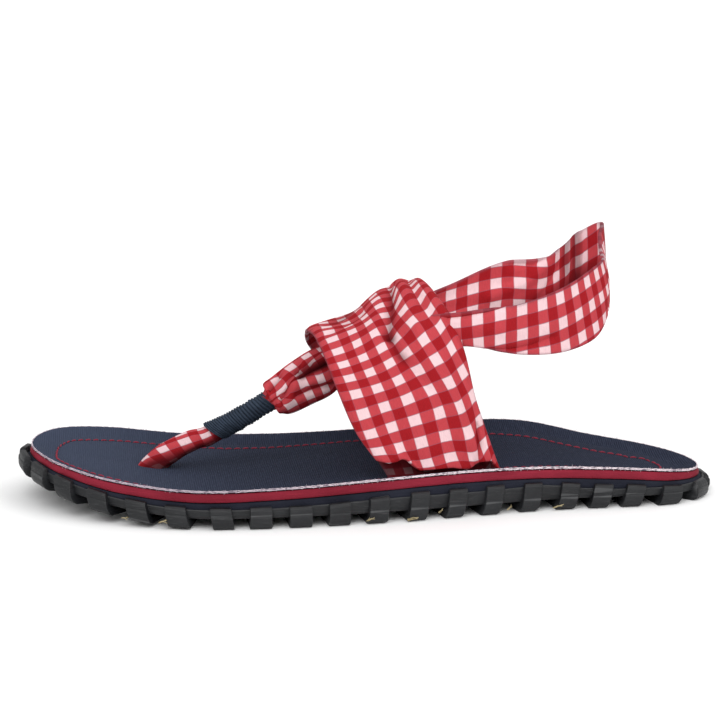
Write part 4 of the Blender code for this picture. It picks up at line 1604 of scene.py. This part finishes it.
def roll_tube(first, last, around, rows, swell_at, checks_at, shade_at):
    """A tube of cloth between two rows. Angles are in degrees: 0 on the inner side, 90 on top
    and 180 on the outer side. swell_at gives how far the cloth stands out there."""
    shape = checked_grid(around, rows, lambda s, t: checks_at(360.0 * s, between(first, last, t)))
    shades = []
    for vert in shape.verts:
        angle, position = 360.0 * (vert.co.x + 0.5), between(first, last, vert.co.y + 0.5)
        row, middle, upright = toe_frame(position)
        high, wide = math.sin(math.radians(angle)), math.cos(math.radians(angle))
        swell = swell_at(angle % 360.0, position)
        shades.append((shade_at(angle % 360.0, position), 0.0))
        up = high * (row.half_height * (row.under if high < 0 else 1.0) + swell)
        vert.co = middle + (upright * up + Vector((0.0, wide * (row.half_width + swell), 0.0))) * MM
    shade_cloth(shape, shades)
    bmesh.ops.remove_doubles(shape, verts=shape.verts, dist=SLIVER * MM)
    bmesh.ops.recalc_face_normals(shape, faces=shape.faces)
    return shape


# %% Rolled root of the toe strap
ROOT_RUNS = (-1.2, 0.12, 1.4, 2.35, 3.1, 4.4, 5.6)
ROOT_LINES = ((-180.0, -3.4), (-51.0, -1.0), (0.0, 0.0), (84.0, 1.0), (150.0, 2.3), (240.0, 4.2))
ROOT_ROW_AT = ((0.0, 70.0), (0.9, 92.0), (1.66, 124.0), (2.56, 142.0), (3.9, 158.0), (6.0, 160.0))
ROOT_FROM = 0.25
ROOT_TO = 5.9
ROOT_WALL = 0.9
HEM_ARCH = 1.6
HEM_LIP = 0.6


def root_swell(angle, position):
    """A soft ripple, and a hem on the outer side that is drawn up in an arch with a lip."""
    soft = RIPPLE * round_noise(angle, 1.3, position * 1.4)
    arch = -HEM_ARCH * hump(angle - 210.0, 28.0) * hump(position - 1.0, 0.45)
    lip = HEM_LIP * hump(angle - 200.0, 12.0) * hump(position - 1.1, 0.5)
    return soft + arch + lip


def root_checks(angle, position):
    """Columns along the strap, and rows round it from the angle where row zero lies."""
    run = float(np.interp(position, range(len(ROOT_RUNS)), ROOT_RUNS))
    return (run, read_pairs(ROOT_LINES, angle - read_pairs(ROOT_ROW_AT, position)))


def root_shade(angle, position):
    """The root's underside, from just below its middle row of checks, is in painted shade."""
    middle = read_pairs(ROOT_ROW_AT, position)
    return soft_step((angle - middle - 12.0) / 48.0) * soft_step((345.0 - angle) / 40.0)


root_shape = roll_tube(ROOT_FROM, ROOT_TO, 44, 70, root_swell, root_checks, root_shade)
root = wall_of_cloth(piece_from(root_shape, "toe_strap_root", cloth.material), ROOT_WALL)

# %% [markdown]
# ## Binding
#
# Thread is wound tightly round the strap for a little over two centimetres. It is a real
# winding: a small circle is spun round the strap's axis while it climbs, and the straight coil
# is then laid along the strap. A little noise keeps the turns from looking machined.

# %% Binding finish
binding_thread = Recipe("navy_thread", roughness=0.75, gloss=0.15)
binding_lines = binding_thread.stretch(binding_thread.place, (2500.0, 500.0, 2500.0))
binding_fibre = binding_thread.noise(binding_lines, 1.0)
binding_cloud = binding_thread.noise(binding_thread.place, 160.0, detail=3.0)
binding_tone = binding_thread.mix(binding_fibre, (0.014, 0.021, 0.035), (0.048, 0.068, 0.102))
binding_tone = binding_thread.stain(binding_tone, binding_cloud, 0.4, 0.7, (0.009, 0.014, 0.023), 0.5)
binding_points = binding_thread.add("NewGeometry", {}).outputs["Pointiness"]
# Painted shade: the thread is darkened in the hollows between its turns.
binding_groove_shade = binding_thread.ramp(binding_points, 0.46, 0.53)
binding_tone = binding_thread.mix(binding_groove_shade, (0.003, 0.005, 0.009), binding_tone)
binding_thread.colour(binding_tone)
binding_thread.bump(binding_fibre, 0.0001)

# %% Wind the binding
BINDING_FROM = 4.0
BINDING_TO = 6.0
THREAD = 1.12
THREAD_PACKED = 0.95
COIL_RADIUS = 1.0
WINDING_STEPS = 26
wound_way = (toe_frame(BINDING_TO)[1] - toe_frame(BINDING_TO - 0.2)[1]).normalized()
wound_length = (toe_frame(BINDING_TO)[1] - toe_frame(BINDING_FROM)[1]).length
wound_turns = round(wound_length / (THREAD * THREAD_PACKED * MM))
coil = bmesh.new()
ring = bmesh.ops.create_circle(
    coil, cap_ends=False, segments=6, radius=THREAD / 2 * MM,
    matrix=Matrix.Translation((COIL_RADIUS * MM, 0.0, 0.0)) @ Matrix.Rotation(math.pi / 2, 4, "X"),
)["verts"]
bmesh.ops.spin(
    coil, geom=ring + coil.edges[:], cent=(0.0, 0.0, 0.0), axis=(0.0, 0.0, 1.0),
    dvec=(0.0, 0.0, wound_length / (wound_turns * WINDING_STEPS)), angle=math.tau * wound_turns,
    steps=wound_turns * WINDING_STEPS, use_duplicate=False,
)
coil_heights = [vert.co.z for vert in coil.verts]
coil_low, coil_high = min(coil_heights), max(coil_heights)
print("coil height, mm:", round((coil_high - coil_low) / MM, 2), "turns:", wound_turns)

# %% Lay the coil along the strap
WOUND_OUT = 0.75
WOUND_UNEVEN = 0.34
WOUND_CROSSED = 0.22
WOUND_TAPER = 0.2
KNOT = 0.8
LOWER_SLANT = 0.2
UPPER_SLANT = 2.7


def winding_position(share, angle):
    """The table position of a turn. The first turns climb on their lower side."""
    low = 1.0 - math.sin(math.radians(angle))
    return between(BINDING_FROM, BINDING_TO, share) + LOWER_SLANT * low * (1.0 - share) ** 2


def winding_out(angle, share):
    """How far the winding stands off the strap."""
    uneven = WOUND_UNEVEN * round_noise(angle, 0.8, share * 14.0)
    crossed = WOUND_CROSSED * round_noise(angle, 1.0, share * wound_turns * 0.8)
    knot = KNOT * hump(share - 0.09, 0.07) * hump(angle - 100.0, 50.0)
    return WOUND_OUT + uneven + crossed + knot + WOUND_TAPER * (1.0 - share)


for vert in coil.verts:
    share = (vert.co.z - coil_low) / (coil_high - coil_low)
    angle = math.degrees(math.atan2(vert.co.y, vert.co.x)) % 360.0
    row, middle, upright = toe_frame(winding_position(share, angle))
    middle = middle + wound_way * (UPPER_SLANT * (1.0 - math.sin(math.radians(angle))) * share**5 * MM)
    out = winding_out(angle, share) * MM + math.hypot(vert.co.x, vert.co.y) - COIL_RADIUS * MM
    up = math.sin(math.radians(angle)) * (row.half_height * MM + out)
    side = math.cos(math.radians(angle)) * (row.half_width * MM + out)
    vert.co = middle + upright * up + Vector((0.0, side, 0.0))


def close_ends(shape):
    bmesh.ops.holes_fill(shape, edges=[item for item in shape.edges if item.is_boundary], sides=0)
    bmesh.ops.recalc_face_normals(shape, faces=shape.faces)


close_ends(coil)
binding = piece_from(coil, "toe_binding_thread", binding_thread.material)
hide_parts("toe_binding")

# %% Core under the winding
CORE_FROM = 4.42
CORE_OUT = 0.4
core_shape = roll_tube(
    CORE_FROM, BINDING_TO, 24, 12, lambda angle, position: CORE_OUT, root_checks, root_shade
)
close_ends(core_shape)
core = piece_from(core_shape, "toe_binding_core", binding_thread.material)

# %% [markdown]
# ## Where the toe strap opens
#
# Above the binding the cloth puffs out in a collar. From under the collar a deep groove runs up
# and splits the cloth in two: an upper fold that winds over the top, and a lower fold that goes
# straight in under the band. Near the band the groove opens to a deep hollow, which is darkened
# with painted shade, as are the groove and the underside. All of it is one tube, and its groove
# is a few folds, placed by angle and row.

# %% Opening folds
OPEN_FOLDS = (
    Lap(1.7, 5.0, (
        (6.2, 226.0), (6.9, 205.0), (7.76, 180.0), (8.24, 170.0),
        (8.48, 159.0), (8.68, 150.0), (8.9, 141.0),
    )),
    Lap(1.8, 3.5, (
        (8.9, 141.0), (9.08, 137.0), (9.32, 135.0), (9.68, 129.0), (10.1, 126.0), (10.6, 124.0),
    )),
    Fold(-2.4, 0.9, ((7.8, 186.0), (8.24, 174.0), (8.48, 163.0), (8.68, 154.0), (9.0, 149.0))),
    Fold(-6.5, 2.3, ((9.2, 147.0), (9.6, 145.0), (10.0, 147.0), (10.6, 150.0))),
    Fold(-1.6, 1.2, ((8.35, 112.0), (8.2, 120.0), (7.96, 125.0), (7.64, 131.0), (7.24, 137.0))),
    Fold(-1.6, 1.3, (
        (10.6, 228.0), (10.24, 220.0), (9.88, 205.0), (9.44, 195.0), (9.0, 189.0), (8.64, 186.0),
    )),
    Fold(0.6, 1.6, ((6.7, 125.0), (6.7, 205.0))),
)
OPEN_SCALE = scaled(7.4, 0.125)
OPEN_RUNS = (
    (5.85, 0.42), (6.2, 0.5), (7.5, 0.5), (8.3, 1.0), (9.12, 2.0), (9.87, 3.0), (10.5, 4.0), (11.0, 4.8),
)
OPEN_TOP = ((8.0, 121.0), (8.84, 116.0), (9.52, 112.0))
OPEN_UPPER = ((7.0, 170.0), (8.24, 160.0), (9.08, 136.0), (9.85, 127.0))
OPEN_MIDDLE = ((7.0, 190.0), (8.3, 174.0), (8.5, 165.0), (9.16, 168.0), (9.80, 184.0), (10.32, 188.0))
OPEN_LOWER = ((7.0, 205.0), (8.40, 196.0), (9.20, 207.0), (10.04, 219.0))
OPEN_TUCK = ((7.6, 0.5), (7.85, 1.35), (8.75, 1.62), (9.12, 2.0))
OPEN_FROM = 5.85
OPEN_TO = 11.0
OPEN_WALL = 1.0
OPEN_OUT = 1.0
OPEN_LUMPS = 0.35
OPEN_BEND = 0.3
LIP_BELOW = 2.5
SILL_ABOVE = 12.0
SILL_LEAST = 4.0
COLLAR_CLOSE = 0.9
UNDER_CLOSE = 2.2


def open_swell(angle, position):
    """Lumps and folds, drawn in where the winding and the underside hold the cloth."""
    lumps = OPEN_LUMPS * round_noise(angle, 1.2, position * 0.8 + 9.0)
    closing = COLLAR_CLOSE * (1.0 - soft_step((position - 5.75) / 0.55))
    closing += UNDER_CLOSE * hump(angle - 262.0, 48.0) * (1.0 - soft_step((position - 6.2) / 0.7))
    folded = fold_height(OPEN_FOLDS, position, angle, OPEN_SCALE)
    return lumps * soft_step(position - 6.0) + folded + OPEN_OUT - closing


def open_shade(angle, position):
    """Darkest in the hollow below the upper fold, and dark along the groove."""
    deep = -fold_height(OPEN_FOLDS, position, angle, OPEN_SCALE)
    under = 0.5 * soft_step((angle - 215.0) / 40.0)
    return max(under, soft_step(deep / 3.4))


def open_checks(angle, position):
    """Anchors by angle: rows 0 and 1 lie above the groove, rows 2 and 3 below it."""
    tables = (OPEN_TOP, OPEN_UPPER, OPEN_MIDDLE, OPEN_LOWER)
    top, upper, middle, lower = [read_pairs(table, position) for table in tables]
    lip, sill = upper + LIP_BELOW, max(middle - SILL_ABOVE, upper + SILL_LEAST)
    anchors = (
        (0.0, -1.8), (top, 0.0), (upper, 1.0), (lip, 1.27), (sill, 1.74), (middle, 2.0), (lower, 3.0),
        (360.0, 6.0),
    )
    run = read_pairs(OPEN_RUNS, position)
    run += OPEN_BEND * hump(angle - 95.0, 32.0) * soft_step(position - 7.5)
    if OPEN_TUCK[0][0] < position < OPEN_TUCK[-1][0]:
        run = between(run, read_pairs(OPEN_TUCK, position), hump(angle - 174.0, 13.0))
    return (run, read_pairs(anchors, angle))


open_shape = roll_tube(OPEN_FROM, OPEN_TO, 130, 100, open_swell, open_checks, open_shade)
opening = wall_of_cloth(piece_from(open_shape, "toe_strap_opening", cloth.material), OPEN_WALL)
